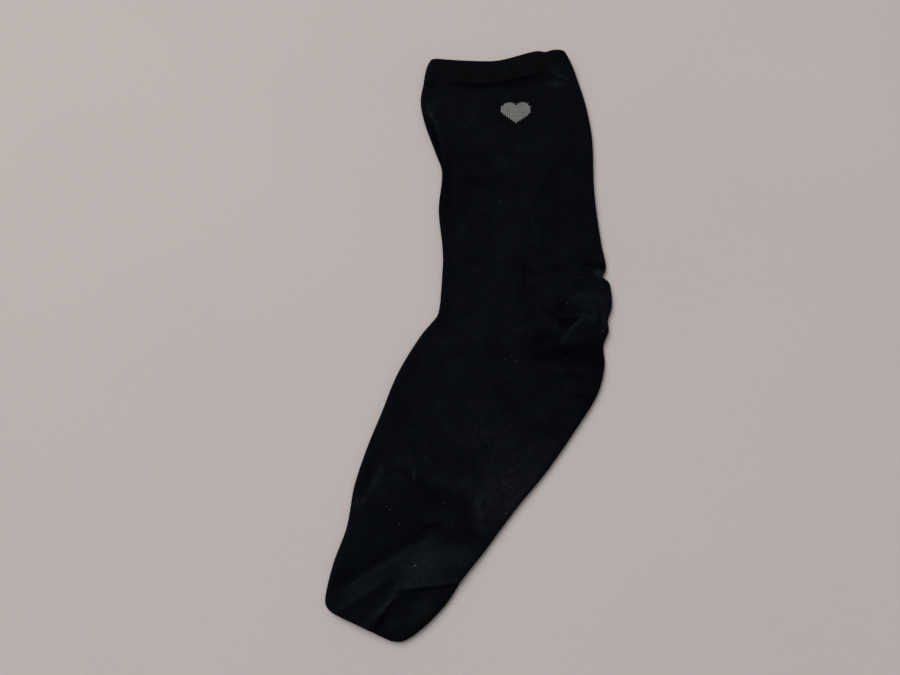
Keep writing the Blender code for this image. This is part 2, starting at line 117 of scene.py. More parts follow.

# ---- creases

# A crease runs on a bent line from its start to its end. It is a ridge where the height is
# positive and a trough where it is negative. Each flank has its own reach, seen along the crease;
# power 1 is a sharp line and 2 a soft one; tone lightens the cloth where it is positive, as painted
# highlight on ridges and lips that face the light and partly as wear of rubbed ridges, and darkens
# it where it is negative, as painted shade in troughs, grooves and under lips; lean moves the crest
# over its shorter flank.
CREASE_COLUMNS = ("start_x", "start_y", "bend_x", "bend_y", "end_x", "end_y",
                  "height", "left_reach", "right_reach", "power", "tone", "lean")
UPPER_CREASES = rows_of(
    CREASE_COLUMNS,
    # welt and cuff
    welt_groove=(-13.5, 147.4, 12.0, 141.2, 45.5, 155.4, -0.5, 1.3, 2.0, 2.6, -1.2),
    groove_back=(26.0, 146.2, 38.0, 147.6, 47.0, 152.8, -0.3, 1.3, 1.5, 2.4, -1.0),
    crumple_high=(45.0, 156.5, 50.0, 157.6, 55.5, 156.0, 0.5, 0.8, 0.8, 1.8, 0.5),
    crumple_mid=(47.5, 154.6, 54.0, 154.6, 59.8, 149.4, 0.8, 0.8, 0.9, 1.6, 0.95),
    crumple_ring=(45.5, 149.5, 50.0, 145.0, 57.5, 147.0, 0.4, 0.8, 0.9, 2.0, 0.45),
    cuff_rim=(-30.5, 133.5, -19.8, 113.5, -18.6, 85.5, 0.7, 1.6, 0.6, 1.7, 0.46, 0.3),
    cuff_pleat=(-29.5, 125.0, -22.5, 111.0, -19.4, 90.0, -2.2, 0.9, 1.8, 2.0, -1.3),
    calf_soft=(-20.0, 140.7, -6.0, 124.7, 2.0, 94.7, 0.35, 7.0, 6.0, 2.0, 0.04),
    calf_back=(60.0, 144.7, 66.0, 118.7, 60.0, 90.7, -0.35, 6.0, 4.0, 2.0, -0.04),
    # leg
    leg_wale_front=(-2.0, 116.7, -6.0, 84.7, -2.0, 44.7, -0.3, 4.0, 5.0, 2.0, -0.08),
    leg_wale_mid=(18.0, 94.7, 16.0, 60.7, 19.0, 22.7, 0.3, 4.0, 5.0, 2.0, 0.06),
    leg_wale_back=(47.0, 90.7, 50.0, 58.7, 46.0, 30.7, -0.28, 5.0, 4.0, 2.0, -0.06),
    leg_shadow=(49.5, 94.0, 43.0, 76.0, 34.5, 62.0, -0.2, 1.6, 1.6, 2.0, -0.5),
    leg_line=(27.8, 30.0, 27.4, 18.0, 26.6, 5.0, -0.4, 1.0, 1.3, 1.7, -1.0),
    leg_tee=(24.5, 23.8, 28.5, 22.0, 34.5, 18.5, -0.3, 1.8, 2.4, 2.0, -0.75),
    ankle_front=(-18.0, 12.7, -12.0, -3.3, -24.0, -15.3, -0.45, 4.0, 3.0, 2.0, -0.06),
    # heel
    notch_crease=(60.0, 25.3, 68.0, 24.4, 82.0, 24.2, -1.8, 1.7, 1.0, 1.8, -1.5),
    notch_lip=(66.0, 20.3, 71.0, 20.2, 80.0, 18.6, 0.9, 1.3, 2.4, 2.0, 1.3),
    notch_stroke_a=(54.0, 20.2, 57.5, 20.4, 61.0, 19.7, 0.3, 0.6, 0.7, 2.0, 0.32),
    notch_stroke_b=(55.8, 17.4, 57.8, 16.6, 59.8, 16.0, 0.3, 0.6, 0.7, 2.0, 0.24),
    notch_stroke_c=(60.2, 15.6, 63.0, 15.0, 65.8, 14.4, 0.3, 0.7, 0.7, 2.0, 0.26),
    heel_arc=(50.5, 1.5, 59.5, 8.6, 71.0, 4.0, 0.7, 1.8, 2.6, 2.0, 0.36),
    heel_sag=(40.0, -5.0, 50.0, -9.5, 60.0, -5.5, -2.1, 6.0, 7.0, 2.0, 0.0),
    hole_tail=(36.0, -2.0, 40.5, -4.0, 45.0, -7.2, -0.5, 1.2, 1.6, 2.0, -0.95),
    heel_tick=(60.2, -2.9, 62.4, -4.6, 64.6, -5.9, -0.4, 0.8, 0.8, 2.0, -0.5),
    side_crease=(68.7, -0.5, 68.7, -7.0, 67.6, -13.0, -0.8, 0.9, 1.0, 1.8, -0.4),
    heel_ridge=(41.0, -22.3, 53.0, -14.3, 70.0, 0.7, 0.9, 3.6, 6.0, 2.0, 0.04),
    heel_streak=(45.6, -25.5, 49.4, -14.7, 61.5, -4.0, 0.6, 1.1, 1.5, 2.0, 0.46),
    heel_mid=(49.0, -18.2, 57.5, -18.6, 67.0, -22.9, 0.7, 2.0, 2.6, 2.0, 0.1),
    gore_trough=(38.5, -28.4, 54.0, -29.6, 75.0, -29.0, -1.5, 5.2, 6.2, 5.0, -0.8),
    gore_lip=(43.0, -37.3, 57.0, -38.2, 71.0, -36.7, 0.4, 1.2, 3.6, 2.0, 0.08),
    point_arch=(28.2, -25.0, 35.5, -13.3, 45.5, -20.3, -0.8, 1.8, 3.0, 2.0, -0.9),
    point_streak=(30.0, -27.2, 35.5, -24.0, 43.0, -22.1, 0.5, 0.7, 0.8, 2.0, 0.92),
    point_pit=(27.2, -29.5, 34.5, -35.4, 44.0, -27.0, -0.8, 3.2, 1.3, 2.0, -1.1),
    # painted shade in the heel's two dark pits
    smudge_high=(41.5, -43.0, 50.5, -36.6, 59.5, -44.6, -0.6, 2.2, 2.6, 3.0, -0.9),
    smudge_low=(47.5, -51.8, 55.5, -51.0, 64.0, -55.0, -0.5, 1.2, 1.9, 2.0, -0.9),
    heel_pull=(30.0, -15.3, 12.0, -21.3, -8.0, -17.3, 0.35, 5.0, 6.0, 2.0, 0.05),
    # foot
    instep_strip=(-48.4, -87.2, -52.8, -96.0, -57.6, -106.8, 0.9, 2.2, 1.7, 1.9, 0.54, 0.3),
    instep_outer=(-50.0, -80.5, -57.0, -92.5, -63.0, -105.0, -0.9, 1.4, 3.6, 2.0, -0.4),
    foot_long=(-20.0, -31.3, -30.0, -57.3, -46.0, -75.3, -0.35, 6.0, 5.0, 2.0, -0.06),
    sole_long=(44.0, -53.3, 26.0, -71.3, 8.0, -85.3, 0.3, 6.0, 6.0, 2.0, 0.05),
    hook_top=(-44.5, -91.0, -37.2, -90.8, -34.3, -97.5, -0.6, 0.8, 1.1, 1.8, -0.65),
    hook_rim=(-33.6, -89.3, -33.8, -94.0, -32.8, -98.6, 0.5, 0.7, 0.7, 2.0, 0.8),
    hook_band=(-32.0, -93.5, -28.5, -101.2, -11.5, -110.5, -0.9, 1.8, 2.8, 2.0, -0.74),
    ball_line=(-36.0, -107.3, -29.0, -106.5, -19.0, -107.4, -0.4, 0.8, 1.0, 1.8, -0.5),
    slit_tail=(-32.3, -123.4, -30.1, -121.8, -27.6, -120.4, -0.35, 0.9, 1.0, 2.0, -0.85),
    slit_end=(-20.3, -118.4, -18.1, -120.2, -16.4, -122.8, -0.25, 0.8, 0.9, 2.0, -0.55),
    ball_ridge=(-22.0, -91.0, 5.0, -100.3, 1.0, -122.0, 0.9, 7.0, 3.0, 2.0, 0.1),
    side_dent=(-8.0, -119.2, -2.0, -123.5, 7.0, -128.6, -0.9, 1.4, 1.8, 2.0, -0.6),
    slit_sag=(-32.0, -123.5, -25.0, -118.5, -17.0, -118.5, -1.0, 4.0, 4.0, 2.0, 0.0),
    # toe
    toe_valley=(-19.0, -120.8, -38.0, -125.9, -80.0, -153.2, -1.0, 1.3, 4.5, 1.8, -0.1),
    toe_band_edge=(-21.0, -124.4, -39.0, -131.4, -77.0, -155.6, 1.0, 4.6, 1.2, 1.9, 0.42, 0.3),
    toe_band=(2.0, -133.3, -35.0, -139.5, -66.0, -157.3, 0.8, 7.0, 7.0, 2.0, 0.16),
    toe_stripe=(-45.0, -142.3, -58.5, -153.0, -74.0, -160.5, 0.3, 1.6, 1.8, 2.0, 0.34),
    toe_groove=(-38.5, -143.2, -51.0, -150.8, -71.5, -163.8, -0.7, 2.2, 2.2, 2.0, -0.38),
    lip_across=(-2.0, -144.2, -24.0, -147.6, -42.0, -148.8, 0.9, 0.7, 3.0, 2.0, 0.42, 0.4),
    lip_down=(-38.0, -147.2, -44.7, -153.8, -54.2, -170.3, 0.8, 0.9, 2.4, 2.0, 0.15, 0.1),
    lip_light=(-30.0, -143.5, -42.0, -152.5, -60.0, -168.5, 0.3, 1.4, 1.6, 2.0, 0.5),
    tuck_across=(-2.0, -145.5, -24.0, -149.0, -43.0, -150.3, -0.9, 1.3, 0.6, 1.8, -0.66),
    tuck_down=(-37.0, -148.0, -43.5, -154.5, -53.0, -171.0, -0.25, 2.6, 1.0, 1.8, -0.14),
    tip_wedge=(-44.6, -158.0, -47.6, -163.0, -51.4, -167.8, -0.9, 1.5, 1.0, 1.8, -0.44),
)

# The lower layer's own creases, seen only from below or in other light
UNDER_CREASES = rows_of(
    CREASE_COLUMNS,
    under_cuff=(-30.0, 138.7, -8.0, 126.7, 6.0, 98.7, 0.7, 4.0, 6.0, 2.0, -0.2),
    under_calf=(62.0, 130.7, 40.0, 116.7, 34.0, 88.7, 0.5, 5.0, 4.0, 2.0, -0.15),
    under_leg_front=(2.0, 82.7, -4.0, 58.7, 4.0, 32.7, 0.6, 3.0, 5.0, 2.0, -0.18),
    under_leg_back=(44.0, 70.7, 52.0, 48.7, 40.0, 22.7, 0.5, 4.0, 3.0, 2.0, -0.15),
    under_heel_a=(34.0, -23.3, 52.0, -17.3, 70.0, 0.7, 0.9, 3.0, 5.0, 1.8, -0.3),
    under_heel_b=(40.0, -37.3, 56.0, -31.3, 68.0, -27.3, 0.7, 4.0, 2.0, 1.8, -0.25),
    under_heel_c=(46.0, 10.7, 60.0, 6.7, 72.0, 10.7, 0.6, 2.5, 4.0, 1.8, -0.2),
    under_ankle=(-20.0, -3.3, -4.0, -13.3, 8.0, -31.3, 0.6, 4.0, 3.0, 2.0, -0.2),
    under_foot=(-34.0, -51.3, -20.0, -67.3, -26.0, -91.3, 0.5, 5.0, 4.0, 2.0, -0.15),
    under_sole=(32.0, -67.3, 10.0, -85.3, -2.0, -109.3, 0.6, 3.0, 5.0, 2.0, 0.2),
    under_toe_a=(-10.0, -123.3, -38.0, -131.3, -66.0, -139.3, 0.9, 3.0, 5.0, 1.8, -0.3),
    under_toe_b=(-16.0, -143.3, -40.0, -151.3, -62.0, -157.3, 0.7, 2.5, 4.0, 1.8, -0.25),
)

# Larger soft patches: lighter where the tone is positive, as wear and as painted light on lit places,
# darker where it is negative, mostly painted shade in folds, pits and hollows, browner where warm
PATCH_COLUMNS = ("x", "y", "long", "wide", "tone", "turn", "warm")
PATCHES = rows_of(
    PATCH_COLUMNS,
    # painted highlight on the crumpled knit beside the welt
    crumple_rub=(51.5, 147.2, 5.5, 2.6, 0.42, -12.0),
    crumple_dark=(43.0, 141.0, 5.0, 6.0, -0.18),
    cuff_lit=(-27.8, 124.5, 4.0, 1.8, 0.5, 65.0),
    # painted shade in the pocket of the cuff's pleat
    pocket_dark=(-22.9, 107.5, 6.0, 1.5, -0.8, -72.0),
    calf_dark=(-8.0, 96.7, 12.0, 9.0, -0.1),
    # a broad, faint lightening of the calf
    calf_faded=(22.0, 94.7, 20.0, 10.0, 0.05, 60.0),
    leg_edge=(-17.5, 74.0, 22.0, 3.2, -0.95, 86.0),
    # a darker place on the leg, with a darker core
    leg_smudge=(1.8, 78.0, 12.0, 5.8, -0.72),
    smudge_core=(-0.3, 79.0, 2.6, 1.6, -0.5),
    # painted light that evens out the light's falloff over the leg
    leg_faded=(14.0, 22.7, 44.0, 32.0, 0.06, 88.0),
    leg_spot=(45.8, 22.4, 3.2, 1.8, -1.0),
    leg_side=(67.0, 35.0, 8.0, 2.4, -0.36, 80.0),
    shin_dark=(-17.0, 30.0, 24.0, 3.4, -0.42, 89.0),
    ankle_olive=(29.5, -8.5, 8.0, 8.0, 0.06, 0.0, 0.5),
    # painted highlight on the heel's lit lobes, knuckle and rim, and painted shade in its pits, under its
    # folds and round the hole
    knuckle=(66.0, 12.4, 4.5, 2.6, 0.24, -10.0),
    heel_spot=(47.2, 0.6, 2.8, 3.8, -1.1),
    heel_lobe=(63.0, -7.8, 5.0, 3.2, 0.44, 25.0),
    heel_pale=(65.0, -1.5, 4.2, 5.5, 0.2),
    heel_teal=(57.8, -1.2, 4.0, 2.6, 0.22),
    foot_dash_a=(15.8, -30.6, 1.4, 2.2, -0.4),
    foot_dash_b=(16.5, -44.5, 2.0, 1.6, -0.45),
    foot_dash_c=(14.8, -54.3, 1.5, 1.2, -0.4),
    side_dark=(65.0, -38.0, 3.5, 14.0, -0.5, -4.0, 0.4),
    notch_white=(73.0, 18.9, 3.8, 2.2, 0.7, -5.0),
    side_pale=(68.6, -19.0, 1.4, 3.2, 0.45),
    side_lobe=(70.4, -9.4, 3.0, 1.8, 0.36, 80.0),
    heel_rim=(71.0, -2.0, 11.0, 3.6, 0.28, 88.0),
    heel_shadow=(56.0, -28.5, 13.0, 5.0, -0.26, 4.0),
    gore_peak=(60.5, -20.8, 3.6, 3.0, -0.8),
    point_shadow=(36.0, -25.4, 7.6, 6.6, -0.8),
    # painted light that evens out the light's falloff over the foot
    foot_faded=(-16.0, -60.0, 44.0, 30.0, 0.09, 55.0),
    instep_dark=(-40.6, -43.6, 26.0, 3.5, -0.26, 66.0),
    sole_rub=(12.0, -97.5, 24.0, 12.0, 0.43, 55.0, 0.5),
    # wear and painted light along the sole's edge, which the rounding of the crown shades
    sole_edge=(20.0, -101.0, 26.0, 4.5, 0.24, 52.0, 0.3),
    sole_rim=(20.5, -105.0, 16.0, 2.6, 0.42, 54.0, 0.3),
    sole_olive=(-0.4, -73.8, 12.0, 5.5, 0.14, 0.0, 0.7),
    sole_speck_a=(-10.4, -92.5, 2.4, 0.9, -0.4),
    sole_speck_b=(-3.6, -90.0, 1.8, 0.9, -0.35),
    hook_rub=(-38.5, -86.3, 9.5, 3.4, 0.16),
    band_rub_a=(-21.5, -95.2, 4.4, 2.2, 0.22, -10.0),
    band_rub_b=(-10.0, -100.0, 8.5, 4.6, 0.22, -10.0, 0.3),
    ball_rub=(-0.3, -114.0, 6.5, 1.9, 0.3, 90.0, 0.3),
    ball_dark=(-7.6, -115.0, 11.0, 5.0, -0.26, 88.0),
    ball_block=(-9.5, -112.5, 3.0, 3.0, -0.36),
    ball_core=(-19.0, -103.0, 6.5, 2.4, -0.4, -12.0),
    ball_side=(-5.5, -124.0, 4.0, 3.2, -0.34, -40.0),
    ball_streak=(-25.5, -115.3, 5.0, 1.6, 0.22, -10.0),
    slit_spot=(-20.2, -121.4, 2.2, 1.1, -0.7, -35.0),
    instep_rub=(-60.5, -106.9, 5.4, 3.4, 0.28, 5.0, 0.9),
    instep_lit=(-59.8, -94.5, 8.0, 2.0, 0.22, 75.0),
    # painted shade in the toe's valley
    valley_blob_a=(-63.5, -143.2, 4.2, 2.2, -0.7, 38.0),
    valley_blob_b=(-54.3, -137.3, 3.6, 1.7, -0.66, 38.0),
    valley_blob_c=(-46.8, -132.9, 4.4, 1.9, -0.72, 35.0),
    valley_blob_d=(-37.4, -126.0, 3.6, 2.8, -0.66, 30.0),
    valley_left=(-69.5, -144.5, 9.0, 4.5, -0.7, 50.0),
    # wear and painted highlight on the toe's band, which faces the light
    toe_rub=(-26.5, -136.6, 13.5, 7.0, 0.72, 18.0, 0.2),
    toe_rub_side=(-8.0, -136.0, 7.0, 4.0, 0.2, 15.0, 0.2),
    # painted shadow under the toe's lip
    lip_dark=(-36.0, -152.6, 3.8, 2.2, -0.46, 10.0),
    lip_spot=(-41.5, -158.4, 2.0, 1.6, -0.4, 20.0),
    lip_wedge=(-47.8, -161.9, 3.2, 1.5, -0.5, 56.0),
    # a faint lightening of the tip
    tip_faded=(-30.0, -156.0, 12.0, 6.0, 0.12, 22.0),
    # painted highlight on the tip's swell, painted shade in the dark spots beside it
    tip_swell=(-42.0, -166.0, 5.0, 3.0, 0.2, 20.0),
    tip_mid=(-29.0, -158.5, 6.5, 3.0, 0.22, 20.0),
    tip_dark_a=(-37.5, -160.0, 4.5, 2.2, -0.3, 15.0),
    tip_dark_b=(-51.5, -166.5, 4.0, 2.0, -0.35, 35.0),
)

# Pale lint caught on the upper side: x, y, length, direction in degrees and thickness
LINT = (
    (31.2, 156.4, 5.0, 98.0, 0.45), (12.8, 141.5, 0.9, 30.0, 0.6), (52.0, 152.3, 1.2, 20.0, 0.6),
    (-41.3, -84.1, 0.9, 30.0, 0.6), (-27.5, -85.3, 1.2, 70.0, 0.7), (-47.6, -109.1, 0.9, 10.0, 0.7),
    (-45.6, -110.9, 0.9, 50.0, 0.7), (-40.9, -117.8, 1.0, 20.0, 0.7), (-35.1, -128.6, 1.1, 85.0, 0.8),
    (-32.9, -138.3, 1.8, 60.0, 1.5), (-18.9, -107.4, 1.3, 0.0, 0.7), (16.2, -99.6, 0.9, 70.0, 0.6),
    (13.0, -112.9, 1.1, 40.0, 1.0), (49.7, 0.9, 1.3, 10.0, 0.8), (20.0, -32.9, 1.7, 0.0, 0.7),
    (15.0, -31.8, 0.9, 90.0, 0.6), (48.4, -31.1, 0.8, 80.0, 0.6), (68.6, -15.4, 1.4, 50.0, 1.1),
    (-4.6, -55.3, 1.0, 30.0, 0.6), (15.9, -91.4, 0.8, 0.0, 0.6), (33.0, 54.7, 0.9, 70.0, 0.6),
    (14.0, 64.7, 0.8, 20.0, 0.6),
)

# ---- density of the fine meshes

WELT_STEP = 0.85
LEG_STEP = 1.25
HEEL_STEP = 0.85
FOOT_STEP = 1.0
TOE_STEP = 0.8
TIP_STEP = 0.5
ROUND_COLUMNS = 6           # on each quarter of a folded side of the upper layer
UNDER_ROUND_COLUMNS = 3
UPPER_FRONT_COLUMNS = 50
UPPER_BACK_COLUMNS = 34
UNDER_COLUMNS = 22          # on each side of the heel's edge line, underneath
RIM_STEPS = 5               # round the welt's two turned edges

WALES_PER_LAYER = 62
COURSE = 1.05
LEG_TUCK = 1.0              # the leg's first course, inside the welt's turned edge
TOE_TIP_LEFT = 0.12         # of the height at the very tip
TOE_INSET = 0.3             # of the cloth from the toe's end

# ---- sections along the sock

TABLE = np.array(list(SECTIONS.values()))
STEPS = np.diff(TABLE[:, :4], axis=0)

# Distance of each section from the cuff, as the mean of the steps along both folds
STATIONS = np.append(0.0, np.cumsum((np.hypot(*STEPS[:, :2].T) + np.hypot(*STEPS[:, 2:].T)) / 2))
STATION = dict(zip(SECTIONS, STATIONS))


def curve_slopes():
    """Three-point slopes, which keep a smooth curve close to its own points."""
    span = np.diff(STATIONS)[:, None]
    secant = np.diff(TABLE, axis=0) / span
    slopes = (span[1:] * secant[:-1] + span[:-1] * secant[1:]) / (span[:-1] + span[1:])
    return np.concatenate([secant[:1], slopes, secant[-1:]])


SLOPES = curve_slopes()


def sections_at(stations):
    """All columns of SECTIONS at distances from the cuff, on smooth curves, and the width."""
    index = np.clip(np.searchsorted(STATIONS, stations, side="right") - 1, 0, len(STATIONS) - 2)
    span = (STATIONS[index + 1] - STATIONS[index])[..., None]
    t = (stations - STATIONS[index])[..., None] / span
    values = ((2 * t ** 3 - 3 * t ** 2 + 1) * TABLE[index]
              + (t ** 3 - 2 * t ** 2 + t) * span * SLOPES[index]
              + (3 * t ** 2 - 2 * t ** 3) * TABLE[index + 1]
              + (t ** 3 - t ** 2) * span * SLOPES[index + 1])
    section = dict(zip(SECTION_COLUMNS, np.moveaxis(values, -1, 0)))
    run_x = section["back_x"] - section["front_x"]
    run_y = section["back_y"] - section["front_y"]
    width = np.hypot(run_x, run_y)
    return {**section, "width": width, "along_x": run_x / width, "along_y": run_y / width}


def plan_points(section, from_front):
    """Plan positions x and y of points of the sections, and their share of the width."""
    share = np.clip(from_front / section["width"], 0.0, 1.0)
    terms = (term * np.sin((n + 1) * np.pi * share) for n, term in enumerate(WAVE_TERMS))
    swing = section["wave"] * sum(terms)
    x = section["front_x"] + section["along_x"] * from_front + section["along_y"] * swing
    y = section["front_y"] + section["along_y"] * from_front - section["along_x"] * swing
    return x, y, share


# ---- relief

NOISE_CELLS = 64
NOISE_SHIFT = 1000.0        # keeps places positive
CREASE_SAMPLES = 17
CREASE_FADE = 0.5
CREASE_REACHES = 3.2        # beyond this many reaches a crease is left out
DRIFT = ((15.0, 0.26, 3), (6.0, 0.10, 4), (2.6, 0.045, 5))      # cell, height, seed
UNDER_DRIFT = ((16.0, 0.22, 13), (7.0, 0.12, 14))
TONE_DRIFT = ((22.0, 0.06, 23), (7.0, 0.10, 24), (2.8, 0.10, 25))
WORN_CELL = 1.7             # grain of the worn sole
WORN_SEED = 31
WORN_PATCHY = 0.55
UPPER_LEAST = 0.05          # left between the two layers under a deep crease
UPPER_MOST = 4.2
UNDER_LIFT = 0.12           # of the lower layer's creases
UNDER_MOST = 1.2
JOIN_RISE = (0.6, 1.6)      # the leg beside the welt, in the middle and near the folds
JOIN_SHARES = (0.12, 0.25, 0.74, 0.84)
JOIN_REACH = 3.0


def soft_noise(x, y, cell, seed):
    """Smooth random values from -1 to 1, with features about a cell wide."""
    lattice = np.random.default_rng(seed).uniform(-1.0, 1.0, (NOISE_CELLS, NOISE_CELLS))
    place = np.array([x, y]) / cell + NOISE_SHIFT
    first = np.floor(place).astype(int)
    part = place - first
    fx, fy = part * part * (3 - 2 * part)
    i, j = first % NOISE_CELLS
    i_next, j_next = (first + 1) % NOISE_CELLS
    low = lattice[i, j] * (1 - fx) + lattice[i_next, j] * fx
    high = lattice[i, j_next] * (1 - fx) + lattice[i_next, j_next] * fx
    return low * (1 - fy) + high * fy


def drift(x, y, table):
    return sum(height * soft_noise(x, y, cell, seed) for cell, height, seed in table)


def bent_line(crease):
    """Points of a quadratic curve from the crease's start to its end."""
    t = np.linspace(0.0, 1.0, CREASE_SAMPLES)[:, None]
    start, bend, end = (np.array([crease[at + "_x"], crease[at + "_y"]]) for at in ("start", "bend", "end"))
    return (1 - t) ** 2 * start + 2 * t * (1 - t) * bend + t ** 2 * end


def from_line(line, x, y):
    """Share along a line, distance across it (right positive) and its direction, for each point."""
    point = np.stack([x, y], axis=-1)[:, None, :]
    run = np.diff(line, axis=0)[None]
    length = np.linalg.norm(run, axis=-1)
    t = np.clip(((point - line[:-1]) * run).sum(-1) / length ** 2, 0.0, 1.0)
    off = point - (line[:-1] + run * t[..., None])
    distance = np.linalg.norm(off, axis=-1)
    nearest = distance.argmin(axis=1)
    pick = (np.arange(len(nearest)), nearest)
    direction = (run / length[..., None])[0][nearest]
    right = off[pick][:, 0] * direction[:, 1] - off[pick][:, 1] * direction[:, 0]
    across = np.where(right > 0, 1.0, -1.0) * distance[pick]
    return (nearest + t[pick]) / (CREASE_SAMPLES - 1), across, direction


def crease_relief(creases, x, y):
    """Rise, tone and plan shift that a table of creases gives at each point."""
    shape = x.shape
    x = x.ravel()
    y = y.ravel()
    rise = np.zeros_like(x)
    tone = np.zeros_like(x)
    shift = np.zeros((len(x), 2))
    for crease in creases.values():
        line = bent_line(crease)
        left, right = crease["left_reach"], crease["right_reach"]
        low = line.min(0) - CREASE_REACHES * max(left, right)
        high = line.max(0) + CREASE_REACHES * max(left, right)
        near = (x > low[0]) & (x < high[0]) & (y > low[1]) & (y < high[1])
        if not near.any():
            continue
        along, across, direction = from_line(line, x[near], y[near])
        profile = np.sin(np.pi * np.clip(along, 0.0, 1.0)) ** CREASE_FADE
        reach = np.where(across > 0, right, left)
        profile = profile * np.exp(-(np.abs(across) / reach) ** crease["power"])
        rise[near] += crease["height"] * profile
        tone[near] += crease["tone"] * profile
        lean = crease["lean"] if right < left else -crease["lean"]
        shift[near] += lean * profile[:, None] * np.stack([direction[:, 1], -direction[:, 0]], axis=-1)
    return rise.reshape(shape), tone.reshape(shape), shift.reshape(shape + (2,))


def patch_tones(x, y):
    """Tone and warmth that the patches give at each point."""
    tones = np.zeros(x.shape + (2,))
    for patch in PATCHES.values():
        cos = math.cos(math.radians(patch["turn"]))
        sin = math.sin(math.radians(patch["turn"]))
        off_x = x - patch["x"]
        off_y = y - patch["y"]
        along = (off_x * cos + off_y * sin) / patch["long"]
        across = (off_y * cos - off_x * sin) / patch["wide"]
        share = np.exp(-(along ** 2 + across ** 2))
        tones += share[..., None] * (patch["tone"], patch["warm"])
    return tones


def smooth_step(value, low, high):
    t = np.clip((value - low) / (high - low), 0.0, 1.0)
    return t * t * (3 - 2 * t)


def welt_join(stations, share):
    """How far the leg rises to the welt, so that a groove shows only in the middle of it."""
    front, front_end, back, back_end = JOIN_SHARES
    at_folds = 1 - smooth_step(share, front, front_end) + smooth_step(share, back, back_end)
    rise = JOIN_RISE[0] + (JOIN_RISE[1] - JOIN_RISE[0]) * at_folds
    return rise * np.exp(-(np.clip(stations - STATION["welt_end"], 0.0, None) / JOIN_REACH) ** 2)


def upper_relief(section, x, y, share, wall, join=0.0):
    """Height of the upper layer's outer face, its tones, and its plan shift under leaning creases."""
    rise, tone, shift = crease_relief(UPPER_CREASES, x, y)
    crown = section["crown"] * np.sin(np.pi * share) ** CROWN_POWER
    hollow = HOLLOW + crown + rise + drift(x, y, DRIFT)
    height = 2 * wall + np.clip(hollow, UPPER_LEAST, UPPER_MOST) + join
    tones = patch_tones(x, y)
    worn = WORN_PATCHY * tones[..., 1] * soft_noise(x, y, WORN_CELL, WORN_SEED)
    # the tone: painted light and shade from the creases and patches, a patchy grain where the patches are
    # warm, and random drift
    tones[..., 0] = tone + tones[..., 0] + worn + drift(x, y, TONE_DRIFT)
    return height, tones, shift


# ---- grids of the knitted tube

HOLE_LIFT = 2.4             # of the lower layer's inner face, where it shows through a hole
HOLE_THIN = 0.55            # share of the wall that is worn off round a hole
HOLE_NEAR = 0.6             # of a hole's length, the reach of both
HOLE_NEAR_POWER = 4
LEAST_GAP = 0.15
# painted shade on the tube's inner face
INNER_TONE = -0.4


def line_from_front(stations, width):
    """Distance of the heel's edge line from the front fold."""
    top = STATION["heel_notch"]
    bottom = STATION["heel_end"]
    middle = STATION["ankle_low"]
    above = np.minimum((top - stations) / HEEL_LINE_RELAX, 1.0)
    below = np.minimum((stations - bottom) / HEEL_LINE_RELAX, 1.0)
    inside = np.where(stations <= middle, (stations - top) / (middle - top),
                      (bottom - stations) / (bottom - middle))
    reach = np.where(stations < top, above, np.where(stations > bottom, below, inside))
    narrow = width - UPPER_ROUND - HEEL_EDGE_STRIP
    return narrow + (width * HEEL_POINT - narrow) * reach


def column_places(wall, rim):
    """Rules for the columns of a section: distance from the front fold is a + b*width + c*line.

    The fourth value is the rise: 1 on the upper layer, -1 on the lower one, 0 at the folds.
    """
    def fold(reach, columns, rise):
        angles = [n * (np.pi / 2) / columns for n in range(1, columns)]
        return [(rim + (reach - rim) * (1 - math.cos(a)), rise * math.sin(a)) for a in angles]

    under_round = wall + HOLLOW / 2
    upper_off = fold(UPPER_ROUND, ROUND_COLUMNS, 1.0)
    under_off = fold(under_round, UNDER_ROUND_COLUMNS, -1.0)
    under = np.linspace(0, 1, UNDER_COLUMNS)
    places = [(rim, 0.0, 0.0, 0.0)]
    places += [(off, 0.0, 0.0, rise) for off, rise in upper_off]
    places += [(UPPER_ROUND * (1 - t), 0.0, t, 1.0) for t in np.linspace(0, 1, UPPER_FRONT_COLUMNS)]
    places += [(-UPPER_ROUND * t, t, 1 - t, 1.0) for t in np.linspace(0, 1, UPPER_BACK_COLUMNS)[1:]]
    places += [(-off, 1.0, 0.0, rise) for off, rise in reversed(upper_off)]
    places += [(-rim, 1.0, 0.0, 0.0)]
    places += [(-off, 1.0, 0.0, rise) for off, rise in under_off]
    places += [(-under_round * (1 - t), 1 - t, t, -1.0) for t in under]
    places += [(under_round * t, 0.0, 1 - t, -1.0) for t in under[1:]]
    places += [(off, 0.0, 0.0, rise) for off, rise in reversed(under_off)]
    return np.array(places).T


UPPER_LINE_COLUMN = ROUND_COLUMNS + UPPER_FRONT_COLUMNS - 1
BACK_FOLD_COLUMN = UPPER_LINE_COLUMN + UPPER_BACK_COLUMNS + ROUND_COLUMNS - 1
UNDER_LINE_COLUMN = BACK_FOLD_COLUMN + UNDER_ROUND_COLUMNS + UNDER_COLUMNS - 1


def end_rounding(stations, end):
    """How much of the height is left beside the toe's end."""
    inside = np.clip((end - stations) / UPPER_ROUND, 0.0, 1.0)
    return np.maximum(np.sqrt(1 - (1 - inside) ** 2), TOE_TIP_LEFT)


def round_holes(x, y):
    """How near the places are to a hole, from 0 to 1, and the tone of the tube's inner face, a painted shade
    that is darker under a hole.
    """
    nearness = np.zeros_like(x)
    tone = np.full_like(x, INNER_TONE)
    for hole in HOLES.values():
        distance = np.hypot(x - hole["x"], y - hole["y"])
        share = np.exp(-(distance / (HOLE_NEAR * hole["length"])) ** HOLE_NEAR_POWER)
        nearness += share
        tone += (hole["inside"] - INNER_TONE) * share
    return nearness, tone


